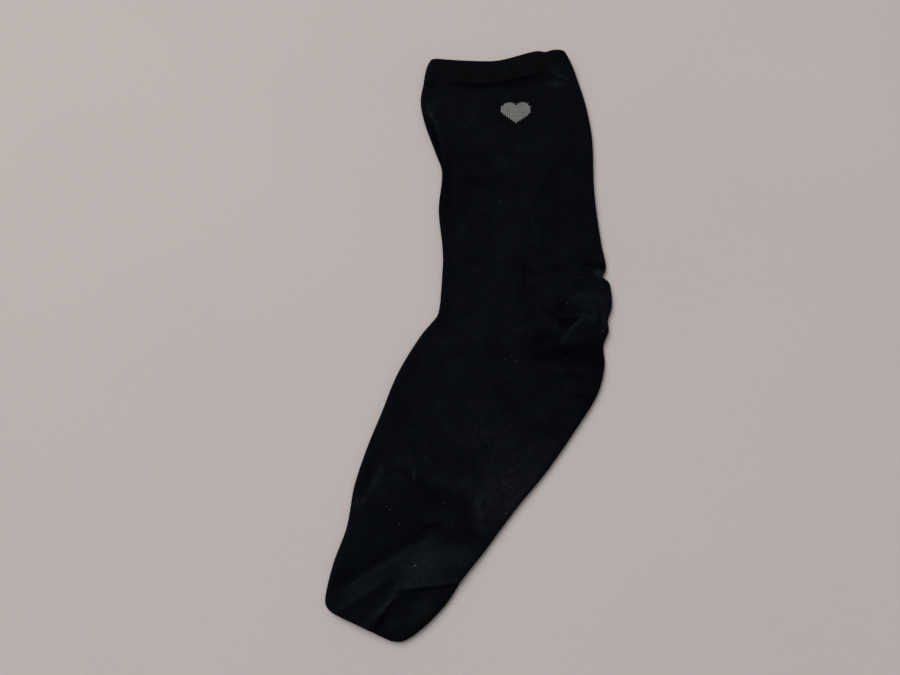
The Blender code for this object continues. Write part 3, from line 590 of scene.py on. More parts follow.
def tube_grid(stations, wall, rim, toe_end=None):
    """Points, knit coordinates and tone of one face of the tube: rim 0 outside, the wall inside.

    The welt has no toe end. The rest rises to meet the welt and is rounded off at the toe.
    """
    a, b, c, rise = (row[None, :] for row in column_places(wall, rim))
    section = {name: value[:, None] for name, value in sections_at(stations).items()}
    stations = stations[:, None]
    from_front = a + b * section["width"] + c * line_from_front(stations, section["width"])
    x, y, share = plan_points(section, from_front)
    join, left = 0.0, 1.0
    if toe_end is not None:
        join = welt_join(stations, share)
        left = end_rounding(stations, toe_end)
    middle = wall + HOLLOW / 2
    top, tones, shift = upper_relief(section, x, y, share, wall, join)
    under_rise, under_tone, _ = crease_relief(UNDER_CREASES, x, y)
    under_rise = np.clip(under_rise + UNDER_LIFT + drift(x, y, UNDER_DRIFT), 0.0, UNDER_MOST)
    is_upper = rise > 0
    nearness, inner_tone = round_holes(x, y)
    upper_rim = rim * (1 - HOLE_THIN * nearness)
    above = middle + (top - upper_rim - middle) * rise * left
    room = np.maximum(top - upper_rim - rim - under_rise - LEAST_GAP, 0.0)
    lift = np.minimum(HOLE_LIFT * nearness, room) if rim else 0.0
    below = middle + (middle - rim - under_rise - lift) * rise * left
    amount = np.clip(rise, 0.0, 1.0)
    points = np.stack([x + shift[..., 0] * amount, y + shift[..., 1] * amount,
                       np.where(is_upper, above, below)], axis=-1)
    flat_tone = inner_tone if rim else under_tone + drift(points[..., 0], points[..., 1], TONE_DRIFT)
    flat_tones = np.stack([flat_tone, np.zeros_like(x)], axis=-1)
    tones = flat_tones if rim else np.where(is_upper[..., None], tones, flat_tones)
    knit = np.stack(np.broadcast_arrays(share * WALES_PER_LAYER, stations / COURSE, 0.0), axis=-1)
    return points, knit, tones


# ---- meshes

KNIT_SMOOTH = 75.0          # degrees, the largest angle between faces that is shaded smooth
YARN_SMOOTH = 80.0
TINY = 1e-12
STEEP = 0.9                 # the rise of a tube's path from which its rings are set out from X


def unit(vectors, least=0.0):
    """Vectors of length 1. The least keeps one of no length from being divided by nothing."""
    return vectors / (np.linalg.norm(vectors, axis=-1, keepdims=True) + least)


def new_object(name, vertices, faces, material, smooth_angle=KNIT_SMOOTH):
    data = bpy.data.meshes.new(name)
    data.from_pydata((np.asarray(vertices) * METRES).tolist(), [], faces)
    data.update()
    data.shade_smooth()
    data.set_sharp_from_angle(angle=math.radians(smooth_angle))
    data.materials.append(material)
    made = bpy.data.objects.new(name, data)
    bpy.context.scene.collection.objects.link(made)
    return made


def knit_piece(name, faces, material, points, knit, tones):
    """A mesh that carries its place in the knit and its tones to the material."""
    made = new_object(name, points, faces, material)
    for key, kind, values in (("knit", "FLOAT_VECTOR", knit), ("tone", "FLOAT", tones[:, 0]),
                              ("warm", "FLOAT", tones[:, 1])):
        attribute = made.data.attributes.new(key, kind, "POINT")
        attribute.data.foreach_set("value" if kind == "FLOAT" else "vector",
                                   np.asarray(values, np.float32).ravel())
    return made


def closed_shell(name, outer, inner, keep, material, capped=False):
    """A closed wall over the kept cells of the outer and inner grids, with rims at its edges."""
    rows, count = outer[0].shape[:2]
    index = np.arange(rows * count).reshape(rows, count)
    i, j = np.nonzero(keep)
    ahead = (j + 1) % count
    corners = np.stack([index[i, j], index[i + 1, j], index[i + 1, ahead], index[i, ahead]], axis=1)
    padded = np.pad(keep, ((1, 1), (0, 0)))
    beyond = (padded[i + 1, j - 1], padded[i + 2, j], padded[i + 1, ahead], padded[i, j])
    offset = rows * count
    faces = [corners, corners[:, ::-1] + offset]
    for side, kept in enumerate(beyond):
        bare = ~kept
        if capped and side == 1:
            bare &= i < rows - 2
        first = corners[bare, side]
        second = corners[bare, (side + 1) % 4]
        faces.append(np.stack([second, first, first + offset, second + offset], axis=1))
    faces = np.concatenate(faces)
    caps = [index[-1][::-1], index[-1] + offset] if capped else []
    used = np.unique(np.concatenate([faces.ravel()] + caps))
    new_index = np.full(2 * offset, -1)
    new_index[used] = np.arange(len(used))
    polygons = new_index[faces].tolist() + [new_index[cap].tolist() for cap in caps]
    values = [np.concatenate([a.reshape(offset, -1), b.reshape(offset, -1)])[used]
              for a, b in zip(outer, inner)]
    return knit_piece(name, polygons, material, *values)


def turned_band(name, outer, inner, material):
    """A closed band whose two edges are turned over in half rounds, as on a folded welt."""
    def turn(row, next_row):
        """Rows round one edge, from the outer face to the inner one."""
        away = unit(outer[0][row] - outer[0][next_row])
        middle = (outer[0][row] + inner[0][row]) / 2
        half = (outer[0][row] - inner[0][row]) / 2
        reach = np.linalg.norm(half, axis=-1, keepdims=True)
        angles = np.arange(1, RIM_STEPS + 1) * np.pi / (RIM_STEPS + 1)
        return np.stack([middle + half * math.cos(a) + away * reach * math.sin(a) for a in angles])

    def around(outside, inside):
        """A value round the whole band: its rims keep the value of the outer face's edge rows."""
        low, high = (np.repeat(outside[row], RIM_STEPS, axis=0) for row in (slice(-1, None), slice(0, 1)))
        return np.concatenate([outside, low, inside[::-1], high])

    points = np.concatenate([outer[0], turn(-1, -2), inner[0][::-1], turn(0, 1)[::-1]])
    index = np.arange(points[..., 0].size).reshape(points.shape[:2])
    below = np.roll(index, -1, axis=0)
    corners = np.stack([index, below, np.roll(below, -1, axis=1), np.roll(index, -1, axis=1)], axis=-1)
    return knit_piece(name, corners.reshape(-1, 4).tolist(), material, points.reshape(-1, 3),
                      around(outer[1], outer[1]).reshape(-1, 3), around(outer[2], inner[2]).reshape(-1, 2))


def row_stations(*stretches):
    """Even stations over each stretch (start, end, step), without doubling the joins."""
    places = []
    for start, end, step in stretches:
        parts = max(1, round((end - start) / step))
        places.append(np.linspace(start, end, parts + 1)[:-1])
    return np.append(np.concatenate(places), stretches[-1][1])


# ---- worn holes

HOLE_POINTS = 96
HOLE_RAGGED = 0.28
HOLE_WAVES = ((7, 1.0, 1.0), (12, 2.2, 0.7), (19, 0.0, 0.5))       # count, phase, share
HOLE_RAGGED_ACROSS = 0.5
OUTLINE_PARTS = (0.0, 0.25, 0.5, 0.75)     # of each step, where its cloth may end


def edge_share(along, peak):
    """How far out the edge is at a place along the hole, as a share of its most."""
    reach = np.where(along > peak, 1 - peak, 1 + peak)
    return 1 - (np.abs(along - peak) / reach) ** HOLE_EDGE_POWER


def hole_outline(hole):
    """A corner at each end, one bulging edge above and one below, all of them ragged."""
    t = np.linspace(0, 2 * np.pi, HOLE_POINTS, endpoint=False)
    ragged = HOLE_RAGGED * sum(share * np.sin(count * t + phase) for count, phase, share in HOLE_WAVES)
    out = np.where(t < np.pi, hole["above"], -hole["below"])
    across = out * edge_share(np.cos(t), hole["peak"]) + HOLE_RAGGED_ACROSS * ragged * np.sin(t)
    along = np.cos(t) * (hole["length"] / 2 + ragged)
    turn = math.radians(hole["turn"])
    x = hole["x"] + along * math.cos(turn) - across * math.sin(turn)
    y = hole["y"] + along * math.sin(turn) + across * math.cos(turn)
    return np.stack([x, y], axis=-1)


def inside_outline(outline, x, y):
    """Even-odd test of points against a closed outline."""
    inside = np.zeros(x.shape, bool)
    for (ax, ay), (bx, by) in zip(outline, np.roll(outline, -1, axis=0)):
        crosses = (ay > y) != (by > y)
        with np.errstate(divide="ignore", invalid="ignore"):
            at = ax + (y - ay) * (bx - ax) / (by - ay)
        inside ^= crosses & (x < at)
    return inside


def corners_of(cells):
    """The grid points that any of the cells touches. The grid is closed round its columns."""
    padded = np.pad(cells, ((1, 1), (0, 0)))
    beside = padded[:-1] | padded[1:]
    return beside | np.roll(beside, 1, axis=1)


def open_hole(hole, outer, inner, keep):
    """Drops the upper layer's cells inside the hole and draws the cells around it to its edge."""
    outline = hole_outline(hole)
    upper = slice(ROUND_COLUMNS, BACK_FOLD_COLUMN - ROUND_COLUMNS)
    centre = (outer[:-1] + outer[1:]) / 2
    centre = (centre + np.roll(centre, -1, axis=1)) / 2
    gone = np.zeros_like(keep)
    gone[:, upper] = inside_outline(outline, centre[:, upper, 0], centre[:, upper, 1])
    # a cell that meets the others only at a corner stays
    gone &= np.logical_or.reduce([np.roll(gone, step, axis) for step in (1, -1) for axis in (0, 1)])
    keep &= ~gone
    step = np.roll(outline, -1, axis=0) - outline
    dense = np.concatenate([outline + step * part for part in OUTLINE_PARTS])
    for i, j in np.argwhere(corners_of(gone) & corners_of(~gone)):
        nearest = dense[np.linalg.norm(dense - outer[i, j, :2], axis=-1).argmin()]
        outer[i, j, :2] = nearest
        inner[i, j, :2] = nearest
    return outline


# ---- materials

FULL_BAND = (0.0, 1.0)
WIDE_BAND = (0.3, 0.7)
MIDDLE_BAND = (0.35, 0.65)


def linear(red, green, blue):
    """A colour given as it shows, 0 to 255 a channel, in linear light."""
    channels = [value / 255 for value in (red, green, blue)]
    return [c / 12.92 if c <= 0.04045 else ((c + 0.055) / 1.055) ** 2.4 for c in channels] + [1.0]


class Tree:
    """A short way to write a node tree."""

    def __init__(self, name):
        self.material = bpy.data.materials.new(name)
        self.material.use_nodes = True
        self.nodes = self.material.node_tree.nodes
        self.links = self.material.node_tree.links
        self.place = self.add("TexCoord").outputs["Object"]

    def put(self, socket, value):
        if isinstance(value, bpy.types.NodeSocket):
            self.links.new(value, socket)
        elif value is not None:
            socket.default_value = value

    def add(self, kind, inputs=None, **settings):
        node = self.nodes.new("ShaderNode" + kind)
        for name, value in settings.items():
            setattr(node, name, value)
        for name, value in (inputs or {}).items():
            self.put(node.inputs[name], value)
        return node

    def math(self, operation, *values, clamp=False):
        node = self.add("Math", dict(enumerate(values)), operation=operation, use_clamp=clamp)
        return node.outputs[0]

    def times(self, first, second, **settings):
        return self.math("MULTIPLY", first, second, **settings)

    def times_add(self, first, second, third):
        return self.math("MULTIPLY_ADD", first, second, third)

    def mix(self, amount, first, second, blend="MIX"):
        node = self.add("Mix", {}, data_type="RGBA", blend_type=blend)
        for socket, value in zip((0, 6, 7), (amount, first, second)):
            self.put(node.inputs[socket], value)
        return node.outputs[2]

    def shaded(self, colour, shade):
        """The colour times a shade of grey."""
        grey = self.add("CombineColor", {0: shade, 1: shade, 2: shade}).outputs[0]
        return self.mix(1.0, colour, grey, "MULTIPLY")

    def noise(self, scale, detail=2.0, roughness=0.5, vector=None):
        return self.add("TexNoise", {"Vector": vector or self.place, "Scale": scale, "Detail": detail,
                                     "Roughness": roughness}).outputs["Fac"]

    def spread(self, value, low=0.0, high=1.0, band=WIDE_BAND):
        """Maps a band of a value, as a rule the one in which most of a noise lies."""
        return self.add("MapRange", {"Value": value, "From Min": band[0], "From Max": band[1],
                                     "To Min": low, "To Max": high}).outputs["Result"]

    def bump(self, strength, distance, height):
        return self.add("Bump", {"Strength": strength, "Distance": distance * METRES,
                                 "Height": height}).outputs[0]

    def finish(self, colour, **values):
        """Sets the shader's sockets by name and gives back the material."""
        self.put(self.nodes["Principled BSDF"].inputs["Base Color"], colour)
        for name, value in values.items():
            self.put(self.nodes["Principled BSDF"].inputs[name.replace("_", " ")], value)
        return self.material


# These lighter colours are mixed in where the tone is positive: wear, and painted highlight on ridges that
# face the light.
FADED = linear(23.0, 26.5, 32.0)
WARM_FADED = linear(26.0, 27.0, 29.6)
# This colour is mixed in where the tone is negative: painted shade in creases, hollows and holes.
DEEP = linear(3.6, 5.2, 9.2)            # the bottom of creases
LIGHTER = (1.22, 1.15, 1.06)            # times the dark colour, in cloudy places
BROWNISH = (1.07, 1.0, 0.93, 1.0)
BLUISH = (0.94, 1.0, 1.06, 1.0)
SHEEN_TINT = (0.75, 0.85, 1.0, 1.0)
SPECKLE_SHADES = (0.66, 1.34)
STREAK_SHADES = (0.91, 1.09)
STITCH_SHADES = (0.80, 1.07)            # between the stitches and on them
NAP_SHADES = (0.90, 1.12)
NAP_ROUGHNESS = (0.88, 1.0)
KNIT_BUMP = 0.7
KNIT_NAP = (1900.0, 3.0, 0.65)          # a noise's scale per metre, detail and roughness
KNIT_CLOUDS = (75.0, 3.0)
KNIT_TINTS = (150.0,)
KNIT_SPECKLE = (430.0, 3.0, 0.6)
WALE_WANDER = (260.0, 1.0)
COURSE_WANDER = (420.0, 1.0)
WANDER = (0.5, 0.6)                     # in wales and in courses
V_LEG = 0.25                # of a wale, the middle of a V's leg and half its width
V_LEAN = 1.1                # courses that a leg climbs in a wale
V_SHARES = (0.6, 0.4)       # of a stitch's height, bulging and even
NAP_HEIGHT = 0.55           # beside a stitch's
STREAK_SCALE = (0.55, 0.035, 0.0)       # of the streaks' noise, for each wale and each course


def knit_material(name, dark, faded=FADED, stitch_height=0.30, rib=0.0):
    """Stockinette in dark cotton: rows of V stitches, a short nap, faded places, and painted light and shade
    from the tone.
    """
    tree = Tree(name)
    knit = tree.add("Attribute", attribute_name="knit").outputs["Vector"]
    tone = tree.add("Attribute", attribute_name="tone").outputs["Fac"]
    warm = tree.add("Attribute", attribute_name="warm").outputs["Fac"]
    split = tree.add("SeparateXYZ", {"Vector": knit})
    wale = tree.times_add(tree.noise(*WALE_WANDER), WANDER[0], split.outputs[0])
    course = tree.times_add(tree.noise(*COURSE_WANDER), WANDER[1], split.outputs[1])

    # one stitch: two legs that lean out from the middle of the wale, repeated each course
    from_middle = tree.math("ABSOLUTE", tree.math("SUBTRACT", tree.math("FRACT", wale), 0.5))
    leg = tree.math("DIVIDE", tree.math("SUBTRACT", from_middle, V_LEG), V_LEG)
    leg = tree.math("SUBTRACT", 1.0, tree.times(leg, leg))
    lean = tree.math("FRACT", tree.times_add(from_middle, V_LEAN, course))
    bulge = tree.math("SINE", tree.times(lean, math.pi))
    stitch = tree.times(leg, tree.times_add(bulge, *V_SHARES))
    if rib:
        stitch = tree.times_add(tree.math("COSINE", tree.times(wale, math.pi)), rib, stitch)
    nap = tree.noise(*KNIT_NAP)
    bump = tree.bump(KNIT_BUMP, stitch_height, tree.times_add(nap, NAP_HEIGHT, stitch))

    lighter = [value * share for value, share in zip(dark, LIGHTER)] + [1.0]
    colour = tree.mix(tree.spread(tree.noise(*KNIT_CLOUDS), band=MIDDLE_BAND), dark, lighter)
    tint = tree.mix(tree.spread(tree.noise(*KNIT_TINTS), band=MIDDLE_BAND), BROWNISH, BLUISH)
    colour = tree.mix(1.0, colour, tint, "MULTIPLY")
    speckle = tree.spread(tree.noise(*KNIT_SPECKLE), *SPECKLE_SHADES, MIDDLE_BAND)
    # where the tone is positive: a lighter colour, for wear and for painted highlight on lit ridges
    colour = tree.mix(tree.times(tone, speckle, clamp=True), colour, tree.mix(warm, faded, WARM_FADED))
    # where the tone is negative: painted shade in creases, hollows and holes
    colour = tree.mix(tree.times(tone, -1.0, clamp=True), colour, DEEP)
    along = tree.add("VectorMath", {0: knit, 1: STREAK_SCALE}, operation="MULTIPLY").outputs[0]
    shade = tree.spread(tree.noise(1.0, vector=along), *STREAK_SHADES)
    shade = tree.times(shade, tree.spread(stitch, *STITCH_SHADES, FULL_BAND))
    shade = tree.times(shade, tree.spread(nap, *NAP_SHADES))
    return tree.finish(tree.shaded(colour, shade), Normal=bump,
                       Roughness=tree.spread(nap, *NAP_ROUGHNESS), Specular_IOR_Level=0.015,
                       Sheen_Weight=0.005, Sheen_Roughness=0.45, Sheen_Tint=SHEEN_TINT)


FIBRES = (2600.0, 3.0, 0.7)
FIBRE_HEIGHT = 0.12
FIBRE_ROUGHNESS = (0.85, 1.0)
YARN_CLOUDS = (220.0,)
YARN_SHADES = (0.88, 1.06)
YARN_BUMP = 0.6


def yarn_material(name, colour, pale, sheen=0.08):
    """Loose or raised yarn: fine fibres, uneven in colour."""
    tree = Tree(name)
    fibres = tree.noise(*FIBRES)
    colour = tree.mix(tree.spread(fibres), colour, pale)
    return tree.finish(tree.shaded(colour, tree.spread(tree.noise(*YARN_CLOUDS), *YARN_SHADES)),
                       Normal=tree.bump(YARN_BUMP, FIBRE_HEIGHT, fibres),
                       Roughness=tree.spread(fibres, *FIBRE_ROUGHNESS), Specular_IOR_Level=0.1,
                       Sheen_Weight=sheen, Sheen_Roughness=0.5)


FLOOR_COLOURS = (linear(181, 173, 171), linear(184, 176, 174))
FLOOR_CLOUDS = (5.0,)
FLOOR_GRAIN = (420.0, 3.0, 0.6)
FLOOR_GRAIN_HEIGHT = 0.3
FLOOR_BAND = (0.25, 0.75)
FLOOR_SHADES = (0.975, 1.02)
FLOOR_BUMP = 0.25


def floor_material():
    """Pale painted board with a faint grain."""
    tree = Tree("pale_floor")
    grain = tree.noise(*FLOOR_GRAIN)
    colour = tree.mix(tree.spread(tree.noise(*FLOOR_CLOUDS)), *FLOOR_COLOURS)
    return tree.finish(tree.shaded(colour, tree.spread(grain, *FLOOR_SHADES, FLOOR_BAND)),
                       Normal=tree.bump(FLOOR_BUMP, FLOOR_GRAIN_HEIGHT, grain), Roughness=0.75,
                       Specular_IOR_Level=0.2)


MATERIALS = {
    "knit": knit_material("black_knit", linear(7.6, 10.0, 14.7)),
    "welt": knit_material("black_welt_knit", linear(6.9, 9.0, 11.6), stitch_height=0.26, rib=0.12),
    "heel": knit_material("black_heel_knit", linear(7.8, 10.2, 14.8)),
    "toe": knit_material("black_toe_knit", linear(7.8, 10.6, 15.2), linear(24.0, 28.0, 32.5)),
    "heart": yarn_material("grey_yarn", linear(107, 110, 107), linear(128, 131, 128)),
    "fuzz": yarn_material("black_fuzz", linear(14, 16, 19), linear(24, 26, 29), sheen=0.02),
    "frayed": yarn_material("black_yarn", linear(8, 10, 14), linear(14, 17, 22), sheen=0.0),
    "lint": yarn_material("pale_lint", linear(70, 72, 74), linear(120, 122, 124)),
}

# ---- the knitted pieces

CUFF_SAGS = rows_of(
    ("x", "reach", "power", "depth"),
    broad=(25.5, 16.0, 4, 1.0),
    sharp=(45.6, 3.6, 2, 1.7),
)


def sag_cuff(points):
    """Lowers the cuff's edge where it sags, while the band's lower edge stays in place."""
    left = np.linspace(1.0, 0.0, len(points))[:, None]
    for sag in CUFF_SAGS.values():
        off = np.abs(points[..., 0] - sag["x"]) / sag["reach"]
        points[..., 1] -= sag["depth"] * left * np.exp(-off ** sag["power"])


def make_welt():
    start = STATION["cuff_edge"] + WELT_WALL / 2
    stations = row_stations((start, STATION["welt_end"] - WELT_WALL / 2, WELT_STEP))
    outer = tube_grid(stations, WELT_WALL, 0.0)
    inner = tube_grid(stations, WELT_WALL, WELT_WALL)
    sag_cuff(outer[0])
    sag_cuff(inner[0])
    return turned_band("welt_knit", outer, inner, MATERIALS["welt"]), outer[0]


def make_body():
    """The leg, foot, heel and toe, cut from one tube, so that its pieces meet point to point."""
    toe = STATION["toe_start"]
    end = STATION["toe_end"] - TOE_INSET
    tip = STATION["toe_end"] - UPPER_ROUND
    stations = row_stations((STATION["welt_end"] - LEG_TUCK, STATION["heel_notch"], LEG_STEP),
                            (STATION["heel_notch"], STATION["heel_end"], HEEL_STEP),
                            (STATION["heel_end"], toe, FOOT_STEP), (toe, tip, TOE_STEP),
                            (tip, end, TIP_STEP))
    squeeze = (end - KNIT_WALL - toe) / (end - toe)
    inner_stations = np.where(stations > toe, toe + (stations - toe) * squeeze, stations)
    outer = tube_grid(stations, KNIT_WALL, 0.0, STATION["toe_end"])
    inner = tube_grid(inner_stations, KNIT_WALL, KNIT_WALL, STATION["toe_end"] - KNIT_WALL)

    middle = ((stations[:-1] + stations[1:]) / 2)[:, None]
    column = np.arange(outer[0].shape[1])
    whole = np.ones((len(middle), len(column)), bool)
    outlines = [open_hole(hole, outer[0], inner[0], whole) for hole in HOLES.values()]
    heel_cells = (middle > STATION["heel_notch"]) & (middle < STATION["heel_end"])
    heel_cells = heel_cells & (column >= UPPER_LINE_COLUMN) & (column < UNDER_LINE_COLUMN)
    toe_cells = middle > toe
    pieces = [closed_shell(name, outer, inner, whole & cells, MATERIALS[material], name == "toe_knit")
              for name, cells, material in (("leg_foot_knit", ~heel_cells & ~toe_cells, "knit"),
                                            ("heel_knit", heel_cells, "heel"),
                                            ("toe_knit", toe_cells, "toe"))]
    return pieces, outer[0], outlines


# ---- heart of grey stitches

STITCH_LEG = ((0.0, -0.62, -0.12), (0.14, -0.28, 0.16), (0.30, 0.12, 0.24), (0.43, 0.50, 0.12),
              (0.46, 0.80, -0.16))      # across and along the wale, and height, of half a V
STITCH_WIDE = 1.28                      # the wale's width that these are given for
STITCH_PROFILE = (0.8, 1.0, 1.08, 1.0, 0.75)
STITCH_RADIUS = 0.30
STITCH_SIDES = 7
STITCH_SWAY = 0.025
STITCH_LIFT = 0.12
HEART_WALES = 13
HEART_WALE = HEART_WIDTH / 12.6         # the outer wales reach a little past the outline
HEART_ARC_POINTS = 12


def heart_outline():
    """Two lobes that meet in the notch, with upright sides, and straight flanks to the tip."""
    half = HEART_WIDTH / 2
    radius = HEART_LOBE * half
    across = half - radius
    high = HEART_HEIGHT / 2 - radius
    low = high - HEART_SIDE
    tip = -HEART_HEIGHT / 2
    notch_angle = math.pi - math.acos(across / radius)
    flank_angle = math.atan2(tip - low, -across) + math.acos(radius / math.hypot(across, low - tip))
    right = []
    for up, start, end in ((high, notch_angle, 0.0), (low, 0.0, flank_angle)):
        angle = np.linspace(start, end, HEART_ARC_POINTS)
        right.append(np.stack([across + radius * np.cos(angle), up + radius * np.sin(angle)], axis=-1))
    right = np.concatenate(right)
    return np.concatenate([right, [(0.0, tip)], right[:0:-1] * [-1.0, 1.0]])


def outline_span(outline, x):
    """The lowest and the highest place at which a closed outline crosses the line at x."""
    after = np.roll(outline, -1, axis=0)
    crossed = (outline[:, 0] - x) * (after[:, 0] - x) <= 0
    start, end = outline[crossed], after[crossed]
    run = end[:, 0] - start[:, 0]
    share = (x - start[:, 0]) / np.where(run == 0, 1.0, run)
    crossings = start[:, 1] + share * (end[:, 1] - start[:, 1])
    return crossings.min(), crossings.max()


def on_leg(across, up, lift):
    """Points on the leg's upper face, given from the heart's middle, and raised by the lift."""
    section = sections_at(STATION["welt_end"] + HEART_DROP - up)
    x, y, share = plan_points(section, HEART_FROM_FRONT + across + HEART_LEAN * up)
    height, _, shift = upper_relief(section, x, y, share, KNIT_WALL)
    return np.stack([x + shift[..., 0], y + shift[..., 1], height + lift], axis=-1)


def make_tubes(name, paths, radii, sides, material):
    """One closed tube for each path of points (paths, points, 3)."""
    count, steps = paths.shape[:2]
    tangent = unit(np.gradient(paths, axis=1), TINY)
    helper = np.where(np.abs(tangent[..., 2:3]) < STEEP, [0.0, 0.0, 1.0], [1.0, 0.0, 0.0])
    side = unit(np.cross(tangent, helper))
    other = np.cross(side, tangent)
    angle = np.linspace(0, 2 * np.pi, sides, endpoint=False)[:, None]
    ring = side[:, :, None] * np.cos(angle) + other[:, :, None] * np.sin(angle)
    vertices = paths[:, :, None] + ring * np.broadcast_to(radii, (count, steps))[..., None, None]
    index = np.arange(count * steps * sides).reshape(count, steps, sides)
    ahead = np.roll(index, -1, axis=2)
    quads = np.stack([index[:, :-1], index[:, 1:], ahead[:, 1:], ahead[:, :-1]], axis=-1)
    faces = quads.reshape(-1, 4).tolist() + index[:, 0].tolist() + index[:, -1, ::-1].tolist()
    return new_object(name, vertices.reshape(-1, 3), faces, material, YARN_SMOOTH)


def make_heart():
    """Each wale's stitches are drawn in or out a little, so that they fill it to the outline."""
    outline = heart_outline()
    leg = np.array(STITCH_LEG)
    paths = []
    for n in range(-(HEART_WALES // 2), HEART_WALES // 2 + 1):
        low, high = outline_span(outline, n * HEART_WALE)
        courses = max(round((high - low) / COURSE), 1)
        for middle in low + (np.arange(courses) + 0.5) * (high - low) / courses:
            for mirror in (-1.0, 1.0):
                sway = RNG.normal(0.0, STITCH_SWAY, (len(leg), 2))
                across = n * HEART_WALE + mirror * leg[:, 0] * HEART_WALE / STITCH_WIDE + sway[:, 0]
                up = middle + leg[:, 1] + sway[:, 1] - HEART_TILT * across
                paths.append(np.stack([across, up, leg[:, 2]], axis=-1))
    across, up, lift = np.moveaxis(np.array(paths), -1, 0)
    return make_tubes("heart_stitches", on_leg(across, up, lift + STITCH_LIFT),
                      STITCH_RADIUS * np.array(STITCH_PROFILE), STITCH_SIDES, MATERIALS["heart"])


# ---- nap, frayed ends and lint

FLOOR_GAP = 0.03            # least height of a fibre's middle
FUZZ_COUNT = 4200
FUZZ_LENGTH = (0.5, 1.7)
FUZZ_SPREAD = 0.9
FUZZ_OUT = (0.25, 0.9)
FUZZ_SINK = 0.05
FUZZ_CURL = 0.35
FUZZ_WEIGHTS = (2.2, 1.0, 0.25)         # at the folded sides, on the upper layer, underneath
FUZZ_RADII = (0.022, 0.0198, 0.0154, 0.0066)
FUZZ_SIDES = 3
YARN_RADIUS = 0.16
YARN_SIDES = 6
YARN_PROFILE = (1.0, 1.0, 0.95, 0.9, 0.8, 0.65, 0.35)
YARNS_PER_LENGTH = 1.4
YARN_BACK = 0.5             # of the root, behind the hole's edge
YARN_SINK = 0.45
YARN_SWAY = 0.5
YARN_RISE = (-0.1, 0.55)
YARN_LEAST = 0.6
YARN_MOST = (0.9, 0.12)     # and more with the hole's width
YARN_CURL = 0.30
LINT_RADIUS = 0.085
LINT_SIDES = 5
LINT_PROFILE = (0.5, 0.9, 1.1, 1.0, 0.9, 0.7, 0.4)
LINT_LIFT = 0.18
LINT_RISE = 0.12
LINT_CURL = 0.22
RANDOM_LINT = 18
RANDOM_MARGINS = (5, 8)     # rows at the cuff's and at the toe's end without random lint
RANDOM_LIFT = (0.08, -0.02)             # on the upper layer and underneath
RANDOM_LENGTH = (0.4, 0.9)
RANDOM_THICK = (0.3, 0.5)


def grid_normals(points):
    around = (np.roll(points, -1, axis=1) - np.roll(points, 1, axis=1)) / 2
    return unit(np.cross(np.gradient(points, axis=0), around), TINY)


def curved_paths(roots, heading, lengths, steps, curl):
    """Short bent paths that start along their headings and wander."""
    paths = [roots]
    direction = heading
    for _ in range(steps - 1):
        direction = unit(direction + RNG.normal(0.0, curl, roots.shape))
        paths.append(paths[-1] + direction * (lengths / (steps - 1))[:, None])
    paths = np.stack(paths, axis=1)
    paths[..., 2] = np.maximum(paths[..., 2], FLOOR_GAP)
    return paths


def make_fuzz(*grids):
    """Loose cotton fibres that stand off the knit, more of them at the folded sides."""
    roots = []
    headings = []
    for points in grids:
        rows, count = points.shape[:2]
        share = FUZZ_COUNT * rows * count // sum(p.shape[0] * p.shape[1] for p in grids)
        column = np.arange(count)
        at_side = (column < 2 * ROUND_COLUMNS) | (np.abs(column - BACK_FOLD_COLUMN) < 2 * ROUND_COLUMNS)
        side, upper, under = FUZZ_WEIGHTS
        weight = np.where(at_side, side, np.where(column < BACK_FOLD_COLUMN, upper, under))
        i = RNG.integers(1, rows - 1, share)
        j = RNG.choice(count, share, p=weight / weight.sum())
        tilt = RNG.normal(0.0, FUZZ_SPREAD, (share, 3))
        out = grid_normals(points)[i, j]
        flat = tilt - out * (tilt * out).sum(-1, keepdims=True)
        roots.append(points[i, j] - FUZZ_SINK * out)
        headings.append(unit(out * RNG.uniform(*FUZZ_OUT, (share, 1)) + flat))
    roots = np.concatenate(roots)
    lengths = RNG.uniform(*FUZZ_LENGTH, len(roots))
    paths = curved_paths(roots, np.concatenate(headings), lengths, len(FUZZ_RADII), FUZZ_CURL)
    return make_tubes("surface_fuzz", paths, FUZZ_RADII, FUZZ_SIDES, MATERIALS["fuzz"])


def surface_height(places, points):
    """Height of the upper layer's grid point that is nearest to each place."""
    upper = points[:, :BACK_FOLD_COLUMN].reshape(-1, 3)
    return np.array([upper[((upper[:, :2] - place) ** 2).sum(-1).argmin(), 2] for place in places])


def make_frayed_yarns(outlines, points):
    """Broken yarn ends round each hole."""
    paths = []
    for hole, outline in zip(HOLES.values(), outlines):
        edge = outline[RNG.choice(len(outline), int(hole["length"] * YARNS_PER_LENGTH), replace=False)]
        inwards = unit(np.array([hole["x"], hole["y"]]) - edge)
        roots = np.column_stack([edge - YARN_BACK * inwards, surface_height(edge, points) - YARN_SINK])
        sway = RNG.normal(0.0, YARN_SWAY, (len(edge), 2))
        heading = np.column_stack([inwards + sway, RNG.uniform(*YARN_RISE, len(edge))])
        most = YARN_MOST[0] + YARN_MOST[1] * max(hole["above"] + hole["below"], 1.0)
        lengths = RNG.uniform(YARN_LEAST, most, len(edge))
        paths.append(curved_paths(roots, heading, lengths, len(YARN_PROFILE), YARN_CURL))
    return make_tubes("frayed_yarns", np.concatenate(paths), YARN_RADIUS * np.array(YARN_PROFILE),
                      YARN_SIDES, MATERIALS["frayed"])


